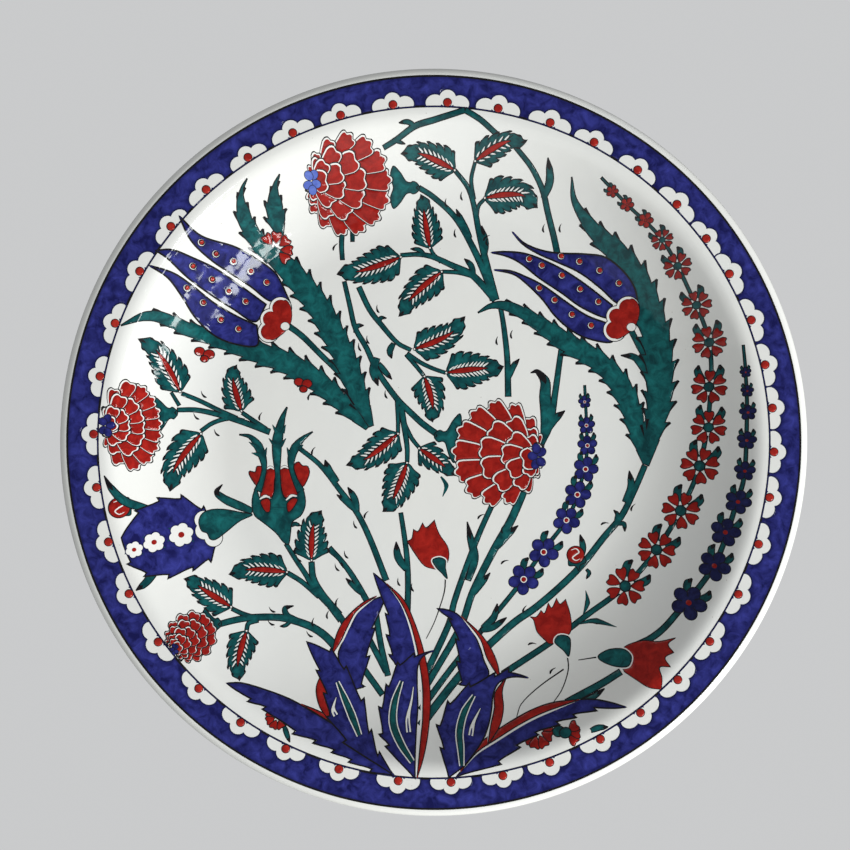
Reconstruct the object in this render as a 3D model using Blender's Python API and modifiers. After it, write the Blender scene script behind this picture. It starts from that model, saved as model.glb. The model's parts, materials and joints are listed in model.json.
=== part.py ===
"""Large painted ceramic wall plate on its hanging wire.

The plate hangs upright: its face looks along -Y, its foot ring stands against the
wall plane Y = 0, and +Z is up. The origin is the point on the wall plane where the
nail stands, level with the underside of the wire's top bend.
"""

import math

import bpy
from mathutils import Vector

# Plate, in metres. Angles are in radians.
PLATE_RADIUS = 0.200
BODY_THICKNESS = 0.0088
RIM_WIDTH = 0.0225
RIM_ANGLE = math.radians(5)
WALL_WIDTH = 0.0655
WALL_ANGLE = math.radians(44)
STRAIGHT_WALL_WIDTH = 0.0096
SHOULDER_RADIUS = 0.012

# Foot ring, pierced with two hanging holes near its top.
FOOT_SETBACK = 0.002
FOOT_WALL = 0.009
FOOT_HEIGHT = 0.010
FOOT_EDGE_RADIUS = 0.0012
HOLE_DIAMETER = 0.0055
HOLE_SPACING = 0.044

# Hanging wire.
WIRE_DIAMETER = 0.0018
BEND_RADIUS = 1.5 * WIRE_DIAMETER
NAIL_BEND_RADIUS = 0.0039
APEX_RISE = 0.052
WALL_CLEARANCE = 0.0003
STRAND_GAP = 0.0003
TWIST_LENGTH = 0.015
TWIST_TURNS = 1.5
TWIST_TIGHTNESS = 1.2

# How finely round shapes are divided.
PLATE_STEPS = 72
CHORD_ERROR = 0.0001
BEND_STEP = math.radians(18)
TWIST_STEPS = 36
HOLE_SIDES = 24

# Sizes that follow from the ones above.
LIP_RADIUS = BODY_THICKNESS / 2
FLOOR_RADIUS = PLATE_RADIUS - RIM_WIDTH - WALL_WIDTH
SHOULDER_WIDTH = SHOULDER_RADIUS * (math.sin(WALL_ANGLE) - math.sin(RIM_ANGLE))
COVE_WIDTH = WALL_WIDTH - STRAIGHT_WALL_WIDTH - SHOULDER_WIDTH
COVE_RADIUS = COVE_WIDTH / math.sin(WALL_ANGLE)
FOOT_OUTER_RADIUS = FLOOR_RADIUS - FOOT_SETBACK
FOOT_INNER_RADIUS = FOOT_OUTER_RADIUS - FOOT_WALL
FOOT_MID_RADIUS = FOOT_OUTER_RADIUS - FOOT_WALL / 2
HOLE_ANGLE = math.asin(HOLE_SPACING / 2 / FOOT_MID_RADIUS)
HOLE_DEPTH = FOOT_HEIGHT / 2
HINGE_RISE = FOOT_MID_RADIUS * math.cos(HOLE_ANGLE)
WIRE_RADIUS = WIRE_DIAMETER / 2


def clear_scene():
    """Remove every object the file opened with."""
    for item in list(bpy.data.objects):
        bpy.data.objects.remove(item, do_unlink=True)


def new_collection(name):
    """Make a collection under the scene's own."""
    collection = bpy.data.collections.new(name)
    bpy.context.scene.collection.children.link(collection)
    return collection


def new_material(name, colour, roughness, metallic=0.0):
    """Make a plain Principled material."""
    material = bpy.data.materials.new(name)
    material.use_nodes = True
    shader = material.node_tree.nodes["Principled BSDF"]
    shader.inputs["Base Color"].default_value = (*colour, 1.0)
    shader.inputs["Roughness"].default_value = roughness
    shader.inputs["Metallic"].default_value = metallic
    return material


# ---------------------------------------------------------------- plate


def arc(centre, radius, start, end):
    """Points on an arc in the section plane, angles counted from the radial axis."""
    step = 2 * math.acos(1 - CHORD_ERROR / radius)
    count = max(2, math.ceil(abs(end - start) / step))
    angles = (start + (end - start) * i / count for i in range(count + 1))
    return [
        (centre[0] + radius * math.cos(a), centre[1] + radius * math.sin(a))
        for a in angles
    ]


def section_centres():
    """Centres of the arcs that shape the face, as radius and height above the wall."""
    cove = (FLOOR_RADIUS, FOOT_HEIGHT + BODY_THICKNESS + COVE_RADIUS)
    wall_end_radius = FLOOR_RADIUS + COVE_WIDTH + STRAIGHT_WALL_WIDTH
    wall_end_height = (
        cove[1]
        - COVE_RADIUS * math.cos(WALL_ANGLE)
        + STRAIGHT_WALL_WIDTH * math.tan(WALL_ANGLE)
    )
    shoulder = (
        wall_end_radius + SHOULDER_RADIUS * math.sin(WALL_ANGLE),
        wall_end_height - SHOULDER_RADIUS * math.cos(WALL_ANGLE),
    )
    lip_centre_radius = PLATE_RADIUS - LIP_RADIUS
    rim_run = lip_centre_radius - shoulder[0]
    rim_rise = rim_run * math.tan(RIM_ANGLE)
    to_mid_rim = (SHOULDER_RADIUS - LIP_RADIUS) / math.cos(RIM_ANGLE)
    lip = (lip_centre_radius, shoulder[1] + rim_rise + to_mid_rim)
    return cove, shoulder, lip


def plate_section():
    """Half section of the plate, from the middle of the face round to the back."""
    cove, shoulder, lip = section_centres()
    down = -math.pi / 2
    up = math.pi / 2
    back_cove = COVE_RADIUS + BODY_THICKNESS
    back_shoulder = SHOULDER_RADIUS - BODY_THICKNESS
    face = [(0.0, FOOT_HEIGHT + BODY_THICKNESS)]
    face += arc(cove, COVE_RADIUS, down, down + WALL_ANGLE)
    face += arc(shoulder, SHOULDER_RADIUS, up + WALL_ANGLE, up + RIM_ANGLE)
    edge = arc(lip, LIP_RADIUS, up + RIM_ANGLE, 0)
    edge += arc(lip, LIP_RADIUS, 0, down + RIM_ANGLE)[1:]
    back = arc(shoulder, back_shoulder, up + RIM_ANGLE, up + WALL_ANGLE)
    back += arc(cove, back_cove, down + WALL_ANGLE, down)
    return face + edge + back + foot_section()


def foot_section():
    """Section of the foot ring and of the recess inside it, from outside in."""
    edge = FOOT_EDGE_RADIUS
    outer = arc((FOOT_OUTER_RADIUS - edge, edge), edge, 0, -math.pi / 2)
    inner = arc((FOOT_INNER_RADIUS + edge, edge), edge, -math.pi / 2, -math.pi)
    top_outside = (FOOT_OUTER_RADIUS, FOOT_HEIGHT)
    top_inside = (FOOT_INNER_RADIUS, FOOT_HEIGHT)
    return [top_outside, *outer, *inner, top_inside, (0.0, FOOT_HEIGHT)]


def turned(name, section, collection):
    """Turn a half section about its object's Z axis."""
    mesh = bpy.data.meshes.new(name)
    points = [(radius, 0.0, height) for radius, height in section]
    edges = [(i, i + 1) for i in range(len(points) - 1)]
    mesh.from_pydata(points, edges, [])
    item = bpy.data.objects.new(name, mesh)
    collection.objects.link(item)
    screw = item.modifiers.new("turn", "SCREW")
    screw.steps = PLATE_STEPS
    screw.render_steps = PLATE_STEPS
    screw.use_merge_vertices = True
    screw.merge_threshold = 0.00001
    screw.use_smooth_shade = True
    return item


def hole_cutter(side, collection):
    """A round cutter that pierces the foot ring along its radius."""
    length = 2 * FOOT_WALL
    bpy.ops.mesh.primitive_cylinder_add(
        vertices=HOLE_SIDES, radius=HOLE_DIAMETER / 2, depth=length
    )
    cutter = bpy.context.active_object
    cutter.name = f"hole_cutter_{side}"
    for owner in list(cutter.users_collection):
        owner.objects.unlink(cutter)
    collection.objects.link(cutter)
    sign = 1 if side == "right" else -1
    angle = sign * HOLE_ANGLE
    cutter.location = (
        FOOT_MID_RADIUS * math.sin(angle),
        FOOT_MID_RADIUS * math.cos(angle),
        HOLE_DEPTH,
    )
    cutter.rotation_euler = (-math.pi / 2, 0, -angle)
    cutter.hide_render = True
    cutter.display_type = "WIRE"
    return cutter


def build_plate(parts, cutters, hinge):
    """One fired piece: floor, wall, rim, lip and pierced foot ring."""
    plate = turned("plate", plate_section(), parts)
    plate.parent = hinge
    plate.location = (0, HOLE_DEPTH, -HINGE_RISE)
    plate.rotation_euler = (math.pi / 2, 0, 0)
    glaze = new_material("glazed_ceramic", (0.84, 0.82, 0.77), 0.12)
    plate.data.materials.append(glaze)
    for side in ("left", "right"):
        cutter = hole_cutter(side, cutters)
        cutter.parent = plate
        cut = plate.modifiers.new(f"hole_{side}", "BOOLEAN")
        cut.operation = "DIFFERENCE"
        cut.solver = "EXACT"
        cut.object = cutter
    return plate


# ---------------------------------------------------------------- wire


def bend(before, corner, after, radius):
    """Replace a corner of a wire's route with an arc."""
    back = (before - corner).normalized()
    ahead = (after - corner).normalized()
    half = back.angle(ahead) / 2
    centre = corner + (back + ahead).normalized() * (radius / math.sin(half))
    reach = radius / math.tan(half)
    first = corner + back * reach - centre
    last = corner + ahead * reach - centre
    turn = math.pi - 2 * half
    count = max(2, math.ceil(turn / BEND_STEP))
    points = []
    for i in range(count + 1):
        share = i / count
        from_first = math.sin((1 - share) * turn)
        from_last = math.sin(share * turn)
        points.append(centre + (first * from_first + last * from_last) / math.sin(turn))
    return points


def hole_axis_point(side, radius):
    """A point on a hole's axis, relative to the hinge line's middle."""
    return Vector(
        (
            side * radius * math.sin(HOLE_ANGLE),
            0,
            radius * math.cos(HOLE_ANGLE) - HINGE_RISE,
        )
    )


def wire_corners():
    """Corners of the wire's right half, from the twist to the apex over the nail."""
    strand = WIRE_RADIUS + STRAND_GAP / 2
    inner = hole_axis_point(1, FOOT_INNER_RADIUS - WIRE_RADIUS)
    outer = hole_axis_point(1, FOOT_OUTER_RADIUS + BEND_RADIUS)
    apex = Vector((0, HOLE_DEPTH - WIRE_RADIUS - WALL_CLEARANCE, APEX_RISE))
    turn_in = Vector((strand, 0, inner.z))
    return turn_in, inner, outer, apex


def hinge_drop():
    """How far the hinge line hangs below the underside of the wire's top bend."""
    _, _, outer, apex = wire_corners()
    half = math.atan2(outer.x, (apex - outer).yz.length)
    top = apex.z - NAIL_BEND_RADIUS * (1 / math.sin(half) - 1)
    return top - WIRE_RADIUS


def twist_strand(top):
    """One strand of the twist, from its free end up to its top."""
    points = []
    for i in range(TWIST_STEPS):
        share = i / TWIST_STEPS
        angle = 2 * math.pi * TWIST_TURNS * (1 - share) ** TWIST_TIGHTNESS
        points.append(
            Vector(
                (
                    top.x * math.cos(angle),
                    top.x * math.sin(angle),
                    top.z - BEND_RADIUS - TWIST_LENGTH * (1 - share),
                )
            )
        )
    return points


def half_route():
    """Right half of the wire's route, from the twist's free end to the nail bend."""
    turn_in, inner, outer, apex = wire_corners()
    twist = twist_strand(turn_in)
    route = list(twist)
    route += bend(twist[-1], turn_in, inner, BEND_RADIUS / 2)
    route += bend(turn_in, inner, outer, BEND_RADIUS)
    route += bend(inner, outer, apex, BEND_RADIUS)
    return route, outer, apex


def build_wire(parts, hinge_height):
    """One length of wire: through both holes, over the nail, its ends twisted."""
    right, outer, apex = half_route()
    mirror_outer = Vector((-outer.x, outer.y, outer.z))
    top = bend(outer, apex, mirror_outer, NAIL_BEND_RADIUS)
    left = [Vector((-p.x, p.y, p.z)) for p in reversed(right[TWIST_STEPS:])]
    left += [Vector((-p.x, -p.y, p.z)) for p in reversed(right[:TWIST_STEPS])]
    route = right + top + left

    curve = bpy.data.curves.new("hanging_wire", "CURVE")
    curve.dimensions = "3D"
    curve.bevel_depth = WIRE_RADIUS
    curve.bevel_resolution = 2
    curve.use_fill_caps = True
    spline = curve.splines.new("POLY")
    spline.points.add(len(route) - 1)
    for point, place in zip(spline.points, route):
        point.co = (*place, 1.0)
    spline.use_smooth = True
    wire = bpy.data.objects.new("hanging_wire", curve)
    wire.location = (0, -HOLE_DEPTH, hinge_height)
    steel = new_material("galvanised_wire", (0.55, 0.55, 0.54), 0.38, 1.0)
    curve.materials.append(steel)
    parts.objects.link(wire)
    return wire


def main():
    """Build the wire, the hinge line and the plate that hangs on it."""
    clear_scene()
    parts = new_collection("painted_wall_plate")
    cutters = new_collection("cutters")
    hinge_height = -hinge_drop()
    hinge = bpy.data.objects.new("hinge_line", None)
    hinge.location = (0, -HOLE_DEPTH, hinge_height)
    parts.objects.link(hinge)
    build_wire(parts, hinge_height)
    build_plate(parts, cutters, hinge)


main()
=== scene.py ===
"""Looks of a large hand painted ceramic wall plate: glazed body, painted flowers and hanging wire.

Flat designs are drawn in millimetres about the middle of the face, x to the right and z up, and
are then laid onto the curved face as thin closed films of pigment.
"""

import json
import logging
import math
import sys
from collections.abc import Callable
from dataclasses import dataclass, field
from enum import Enum

import bmesh
import bpy
import numpy as np
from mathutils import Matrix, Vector
from mathutils.geometry import delaunay_2d_cdt
from mathutils.kdtree import KDTree

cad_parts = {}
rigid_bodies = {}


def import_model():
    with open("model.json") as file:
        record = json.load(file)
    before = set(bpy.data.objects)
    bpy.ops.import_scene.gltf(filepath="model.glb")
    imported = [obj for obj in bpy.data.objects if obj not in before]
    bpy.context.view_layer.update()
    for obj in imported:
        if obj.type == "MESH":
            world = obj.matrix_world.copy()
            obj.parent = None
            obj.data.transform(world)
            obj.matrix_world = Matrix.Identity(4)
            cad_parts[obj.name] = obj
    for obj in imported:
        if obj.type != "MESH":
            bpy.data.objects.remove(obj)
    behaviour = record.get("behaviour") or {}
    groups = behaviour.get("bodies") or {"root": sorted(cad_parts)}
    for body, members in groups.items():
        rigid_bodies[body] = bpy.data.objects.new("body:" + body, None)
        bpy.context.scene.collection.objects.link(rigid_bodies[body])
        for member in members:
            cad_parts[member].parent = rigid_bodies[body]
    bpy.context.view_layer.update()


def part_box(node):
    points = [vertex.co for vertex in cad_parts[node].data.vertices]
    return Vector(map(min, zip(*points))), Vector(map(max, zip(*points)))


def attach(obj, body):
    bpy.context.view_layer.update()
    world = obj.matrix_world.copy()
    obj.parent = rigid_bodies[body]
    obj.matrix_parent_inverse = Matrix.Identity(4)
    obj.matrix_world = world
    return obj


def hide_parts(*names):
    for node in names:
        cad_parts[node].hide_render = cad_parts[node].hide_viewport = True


LOG = logging.getLogger("wall_plate")
Point = tuple[float, float]
Colour = tuple[float, float, float]
Value = float | bpy.types.NodeSocket
MM = 0.001

# Longest straight run of an outline on the face and on its rounded shoulder, and the radius where
# the shoulder starts, in millimetres.
LONGEST_SPAN = 3.4
SHOULDER_SPAN = 1.2
SHOULDER_START = 165.0
# Radius beyond which black belongs to the border, in millimetres.
BORDER_START = 175.8
# Radius of the grid of filling points, and the rings of points between it and the lip.
GRID_RADIUS = 194.3
LIP_RINGS = (194.8, 195.4, 195.8)
GLAZE_IOR = 1.52
# Strength of the even light as it falls, as the glaze reflects it and as the camera sees it.
AIR_STRENGTH = 0.445
GLOSSY_AIR_STRENGTH = 0.11
BACKDROP_STRENGTH = 0.6


class Ink(Enum):
    """Pigments of the painting; BARE is the white ground left showing."""

    BARE = "bare"
    BLACK = "line_black"
    LEAF_LINE = "leaf_outline"
    COBALT = "cobalt_blue"
    NAVY = "deep_blue"
    SKY = "pale_blue"
    GREEN = "leaf_green"
    RED = "tomato_red"


# ---- brush craft


def smooth(points: list[Point] | np.ndarray, closed: bool = False, step: float = 0.8) -> np.ndarray:
    """Draw a flowing curve through given points.

    Args:
        points: places the curve passes through, in millimetres.
        closed: whether the curve returns to its start.
        step: about how far apart the resulting points lie.

    Returns:
        The curve's points, one per row.
    """
    p = np.asarray(points, float)
    n = len(p)
    runs = []
    for i in range(n if closed else n - 1):
        here, there = p[i], p[(i + 1) % n]
        before = p[i - 1] if closed or i else 2 * here - there
        after = p[(i + 2) % n] if closed or i + 2 < n else 2 * there - here
        count = max(2, math.ceil(np.linalg.norm(there - here) / step))
        t = (np.arange(count) / count)[:, None]
        linear = (there - before) * t
        square = (2 * before - 5 * here + 4 * there - after) * t**2
        cube = (3 * here - before - 3 * there + after) * t**3
        runs.append(here + 0.5 * (linear + square + cube))
    if not closed:
        runs.append(p[-1:])
    return np.concatenate(runs)


def between(first: list[Point], second: list[Point]) -> np.ndarray:
    """Close an outline from an edge and a second one, given without the ends it shares with the first."""
    far = smooth([first[0], *second, first[-1]])
    return np.concatenate([smooth(first), far[::-1][1:-1]])


def thinned(outline: np.ndarray, slack: float = 0.06) -> np.ndarray:
    """Leave out points that hardly bend an outline.

    Args:
        outline: the closed outline.
        slack: how far it may stray from the points left out, in millimetres.

    Returns:
        The points kept. They stay close together on the plate's rounded shoulder.
    """
    kept, last = [0], len(outline) - 1
    while kept[-1] < last:
        start = kept[-1]
        here = outline[start]
        limit = LONGEST_SPAN if math.hypot(*here) < SHOULDER_START else SHOULDER_SPAN
        end = start + 1
        while end < last:
            chord = outline[end + 1] - here
            length = math.hypot(*chord)
            inner = outline[start + 1 : end + 1] - here
            stray = np.abs(chord[0] * inner[:, 1] - chord[1] * inner[:, 0]).max() / max(length, 1e-9)
            if length > limit or stray > slack:
                break
            end += 1
        kept.append(end)
    return outline[kept]


def normals_along(path: np.ndarray) -> np.ndarray:
    """Unit normals to the left of a path, one per point."""
    along = np.gradient(path, axis=0)
    along /= np.maximum(np.linalg.norm(along, axis=1), 1e-9)[:, None]
    return np.stack([-along[:, 1], along[:, 0]], axis=1)


def brush(path: np.ndarray, widths: tuple[float, ...]) -> np.ndarray:
    """Outline of a brush stroke.

    Args:
        path: the stroke's middle line.
        widths: widths at equal shares of its points, from start to end.

    Returns:
        The stroke's closed outline.
    """
    share = np.linspace(0, 1, len(path))
    half = np.interp(share, np.linspace(0, 1, len(widths)), widths) / 2
    side = normals_along(path) * half[:, None]
    return np.concatenate([path + side, (path - side)[::-1]])


def grown(outline: np.ndarray, by: float) -> np.ndarray:
    """Move a closed outline outwards by a distance, or inwards where it is negative."""
    ahead = np.roll(outline, -1, axis=0) - outline
    area = np.sum(outline[:, 0] * np.roll(outline[:, 1], -1) - np.roll(outline[:, 0], -1) * outline[:, 1])
    ahead /= np.maximum(np.linalg.norm(ahead, axis=1), 1e-9)[:, None]
    out = np.stack([ahead[:, 1], -ahead[:, 0]], axis=1) * (1 if area > 0 else -1)
    back = np.roll(out, 1, axis=0)
    mitre = (out + back) / np.maximum(1 + np.sum(out * back, axis=1), 0.45)[:, None]
    return outline + mitre * by


def disc(centre: Point, radius: float, squash: float = 1.0, turn: float = 0.0, sides: int = 26) -> np.ndarray:
    """A round or oval outline.

    Args:
        centre: its middle.
        radius: half its length along its own axis.
        squash: width over length.
        turn: angle of its axis in degrees.
        sides: how many points it has.

    Returns:
        The closed outline.
    """
    a = np.linspace(0, 2 * math.pi, sides, endpoint=False)
    shape = np.stack([radius * np.cos(a), radius * squash * np.sin(a)], axis=1)
    return placed(shape, centre, turn)


def placed(shape: np.ndarray, at: Point, turn: float, size: float = 1.0) -> np.ndarray:
    """Turn a shape by degrees, scale it and move it."""
    c, s = math.cos(math.radians(turn)), math.sin(math.radians(turn))
    return (shape * size) @ np.array([[c, s], [-s, c]]) + np.asarray(at, float)


def heading(start: Point, end: Point) -> float:
    """Angle in degrees from one point towards another."""
    return math.degrees(math.atan2(end[1] - start[1], end[0] - start[0]))


@dataclass
class Painting:
    """The flat design, as outlines filled in painting order."""

    fills: list[tuple[Ink, np.ndarray]] = field(default_factory=list)
    bole_dots: list[tuple[float, float, float]] = field(default_factory=list)
    line: float = 0.52

    def fill(self, ink: Ink, outline: np.ndarray) -> None:
        """Fill an outline over what is already there."""
        self.fills.append((ink, thinned(outline)))

    def inked(self, ink: Ink, outline: np.ndarray, line: float | None = None) -> None:
        """Fill an outline and draw its black contour."""
        half = (self.line if line is None else line) / 2
        self.fill(Ink.LEAF_LINE if ink is Ink.GREEN else Ink.BLACK, grown(outline, half))
        self.fill(ink, grown(outline, -half))

    def merged(self, ink: Ink, outlines: list[np.ndarray]) -> None:
        """Fill outlines that flow into one another, with one black contour round them all."""
        for outline in outlines:
            self.fill(Ink.LEAF_LINE, grown(outline, self.line / 2))
        for outline in outlines:
            self.fill(ink, grown(outline, -self.line / 2))

    def stroke(self, ink: Ink, points: list[Point] | np.ndarray, widths: tuple[float, ...]) -> None:
        """Pull one brush stroke through points."""
        self.fill(ink, brush(smooth(points), widths))

    def inked_stroke(self, ink: Ink, points: list[Point], widths: tuple[float, ...]) -> None:
        """Pull a stroke and draw its black contour."""
        self.inked(ink, brush(smooth(points), widths))

    def dot(self, centre: Point, radius: float) -> None:
        """Set a raised drop of red bole."""
        self.fill(Ink.BLACK, disc(centre, radius + 0.35, sides=18))
        self.bole_dots.append((*centre, radius))


# ---- plants


@dataclass(frozen=True)
class Spray:
    """Stalks and the small pointed leaflets that leave them, flowing into one another.

    Attributes:
        stalks: route and widths of each stalk.
        spurs: route, from the stalk to the tip, and greatest width of each leaflet.
    """

    stalks: list[tuple[list[Point], tuple[float, ...]]] = field(default_factory=list)
    spurs: list[tuple[list[Point], float]] = field(default_factory=list)

    def paint(self, on: Painting) -> None:
        """Draw the stalks and leaflets, then the dark tips."""
        outlines = [brush(smooth(route), widths) for route, widths in self.stalks]
        for route, w in self.spurs:
            outlines.append(brush(smooth(route, step=0.5), (0.7 * w, w, w, 0.8 * w, 0.25)))
        on.merged(Ink.GREEN, outlines)
        for route, w in self.spurs:
            line = smooth(route, step=0.5)
            on.fill(Ink.BLACK, brush(line[int(len(line) * 0.7) :], (0.2, 0.66 * w, 0.5 * w, 0.2)))


@dataclass(frozen=True)
class Comma:
    """A loose black comma beside a stalk."""

    at: Point
    turn: float
    size: float = 1.0

    def paint(self, on: Painting) -> None:
        """Draw the comma."""
        bend = np.array([(-2.2, 0.5), (-0.6, 0.75), (1.0, 0.2), (2.3, -0.9)])
        on.fill(
            Ink.BLACK,
            brush(smooth(placed(bend, self.at, self.turn, self.size)), (0.5, 1.3, 0.9, 0.5, 0.15)),
        )


@dataclass(frozen=True)
class ToothedLeaf:
    """A leaf with toothed edges, a red midrib and short ribs hatched beside it.

    Attributes:
        base: where it joins its stalk.
        tip: its point.
        width: its widest.
        bend: how far its spine bows to the left, in millimetres.
        hook: how far its tip turns to the left, in millimetres.
        teeth: teeth on each side.
    """

    base: Point
    tip: Point
    width: float
    bend: float = 0.0
    hook: float = 0.0
    teeth: int = 6

    def spine(self) -> np.ndarray:
        """Middle line from base to tip."""
        base, tip = np.array(self.base), np.array(self.tip)
        along = tip - base
        left = np.array([-along[1], along[0]]) / np.linalg.norm(along)
        route = [base, base + 0.33 * along + left * self.bend * 0.8, base + 0.68 * along + left * self.bend]
        route += [base + 0.9 * along + left * 0.3 * self.hook, tip + left * self.hook]
        return smooth(route, step=0.5)

    def half_width(self, share: float) -> float:
        """Half width without teeth, at a share of the length."""
        return 0.5 * self.width * min(1.0, (share / 0.2 + 0.02) ** 0.6) * max(0.0, 1 - share**2.1) ** 0.85

    def paint(self, on: Painting) -> None:
        """Draw the blade, its dark teeth and its midrib."""
        spine = self.spine()
        normal = normals_along(spine)
        last = len(spine) - 1

        def spot(share: float, off: float) -> np.ndarray:
            """Place at a share of the length and an offset to the left."""
            i = min(last, max(0, round(share * last)))
            return spine[i] + normal[i] * off

        sides = []
        tips = []
        for side in (1, -1):
            edge = [spot(0, 0)]
            for k in range(self.teeth):
                a = 0.02 + 0.8 * k / self.teeth
                b = 0.02 + 0.8 * (k + 1) / self.teeth
                middle = a + 0.4 * (b - a)
                tooth = [
                    spot(a, side * self.half_width(a) * 0.8),
                    spot(middle, side * self.half_width(middle) * 1.02),
                    spot(a + 0.85 * (b - a), side * self.half_width(b) * 1.16),
                    spot(b + 0.05, side * self.half_width(b) * 1.12),
                ]
                curve = smooth(tooth, step=0.6)
                edge.extend(curve)
                tips.append(curve[int(0.55 * len(curve)) :])
            edge.extend(
                [spot(0.92, side * 0.1 * self.width), spot(0.97, side * 0.035 * self.width), spot(1, 0)]
            )
            sides.append(np.array(edge))
        outline = np.concatenate([sides[0], sides[1][::-1][1:-1]])
        on.inked(Ink.GREEN, outline)
        for tip in tips:
            on.fill(Ink.BLACK, brush(tip, (0.2, 0.8, 1.3, 0.6)))
        curl = [spot(share, 0) for share in np.linspace(0.88, 1, 8)]
        on.fill(Ink.BLACK, brush(np.array(curl), (0.2, 0.11 * self.width, 0.09 * self.width, 0.3)))
        self.paint_midrib(on, spot)

    def paint_midrib(self, on: Painting, spot: Callable[[float, float], np.ndarray]) -> None:
        """Draw the red midrib and the hatching along it.

        Args:
            on: the painting.
            spot: gives a place from a share of the length and an offset.
        """
        reach = 0.7
        ribs = max(6, round(self.width * 0.5))
        for side in (1, -1):
            for k in range(ribs):
                a = 0.06 + (reach - 0.06) * k / ribs
                swell = math.sin(math.pi * (k + 0.8) / (ribs + 1)) ** 0.5
                for ink, shift, width in ((Ink.BARE, 0.0, 0.95), (Ink.BLACK, 0.036, 0.6)):
                    start = spot(a + shift, side * 1.0)
                    end = spot(a + shift + 0.09, side * (1.6 + 0.13 * self.width * swell))
                    on.fill(ink, brush(np.array([start, (start + end) / 2, end]), (width, width, 0.25)))
        rib = np.array([spot(s, 0) for s in np.linspace(0.03, reach, 14)])
        on.inked(Ink.RED, brush(rib, (0.9, 2.6, 3.2, 3.0, 2.0, 0.4)), 0.45)
        on.fill(Ink.BLACK, disc(tuple(spot(0, 0)), 0.95, sides=14))
        on.fill(Ink.BARE, disc(tuple(spot(0, 0)), 0.5, sides=12))


@dataclass(frozen=True)
class LongLeaf:
    """A long curved leaf whose stepped edges point to its tip.

    Attributes:
        route: its spine, from tip to root.
        halves: half widths at equal shares of the spine.
        teeth: teeth on each side.
    """

    route: list[Point]
    halves: tuple[float, ...]
    teeth: int = 8

    def outline(self) -> tuple[np.ndarray, list[np.ndarray]]:
        """Trace the blade.

        Returns:
            Its closed outline, and the short run at each tooth.
        """
        spine = smooth(self.route, step=0.6)
        normal = normals_along(spine)
        last = len(spine) - 1
        share = np.linspace(0, 1, len(spine))
        half = np.interp(share, np.linspace(0, 1, len(self.halves)), self.halves)
        flare = (0.36, 0.16, 0.02, -0.04, -0.1)
        sides, tips = [], []
        for side, shift in ((1, 0.0), (-1, 0.5)):
            starts = 0.12 + 0.82 * (np.arange(self.teeth) + shift) / (self.teeth + 0.5)
            ends = [*starts[1:], starts[-1] + 0.82 / (self.teeth + 0.5)]
            edge = [spine[i] + normal[i] * side * half[i] for i in range(0, round(starts[0] * last), 2)]
            for a, b in zip(starts, ends):
                places = np.linspace(a * last - 1.5, min(last, b * last), len(flare)).round().astype(int)
                run = [spine[i] + normal[i] * side * half[i] * (1 + out) for i, out in zip(places, flare)]
                edge.extend(run)
                tips.append(np.array(run[:3]))
            rest = range(round(ends[-1] * last), last + 1, 2)
            edge.extend(spine[i] + normal[i] * side * half[i] for i in rest)
            sides.append(np.array(edge))
        return np.concatenate([sides[0], sides[1][::-1]]), tips


def paint_long_leaves(on: Painting, leaves: list[LongLeaf]) -> None:
    """Draw long leaves that flow into one another, then the pooled pigment at their teeth."""
    traced = [leaf.outline() for leaf in leaves]
    on.merged(Ink.GREEN, [outline for outline, _ in traced])
    for _, tips in traced:
        for tip in tips:
            on.fill(Ink.BLACK, brush(tip, (1.7, 1.1, 0.2)))


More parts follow.
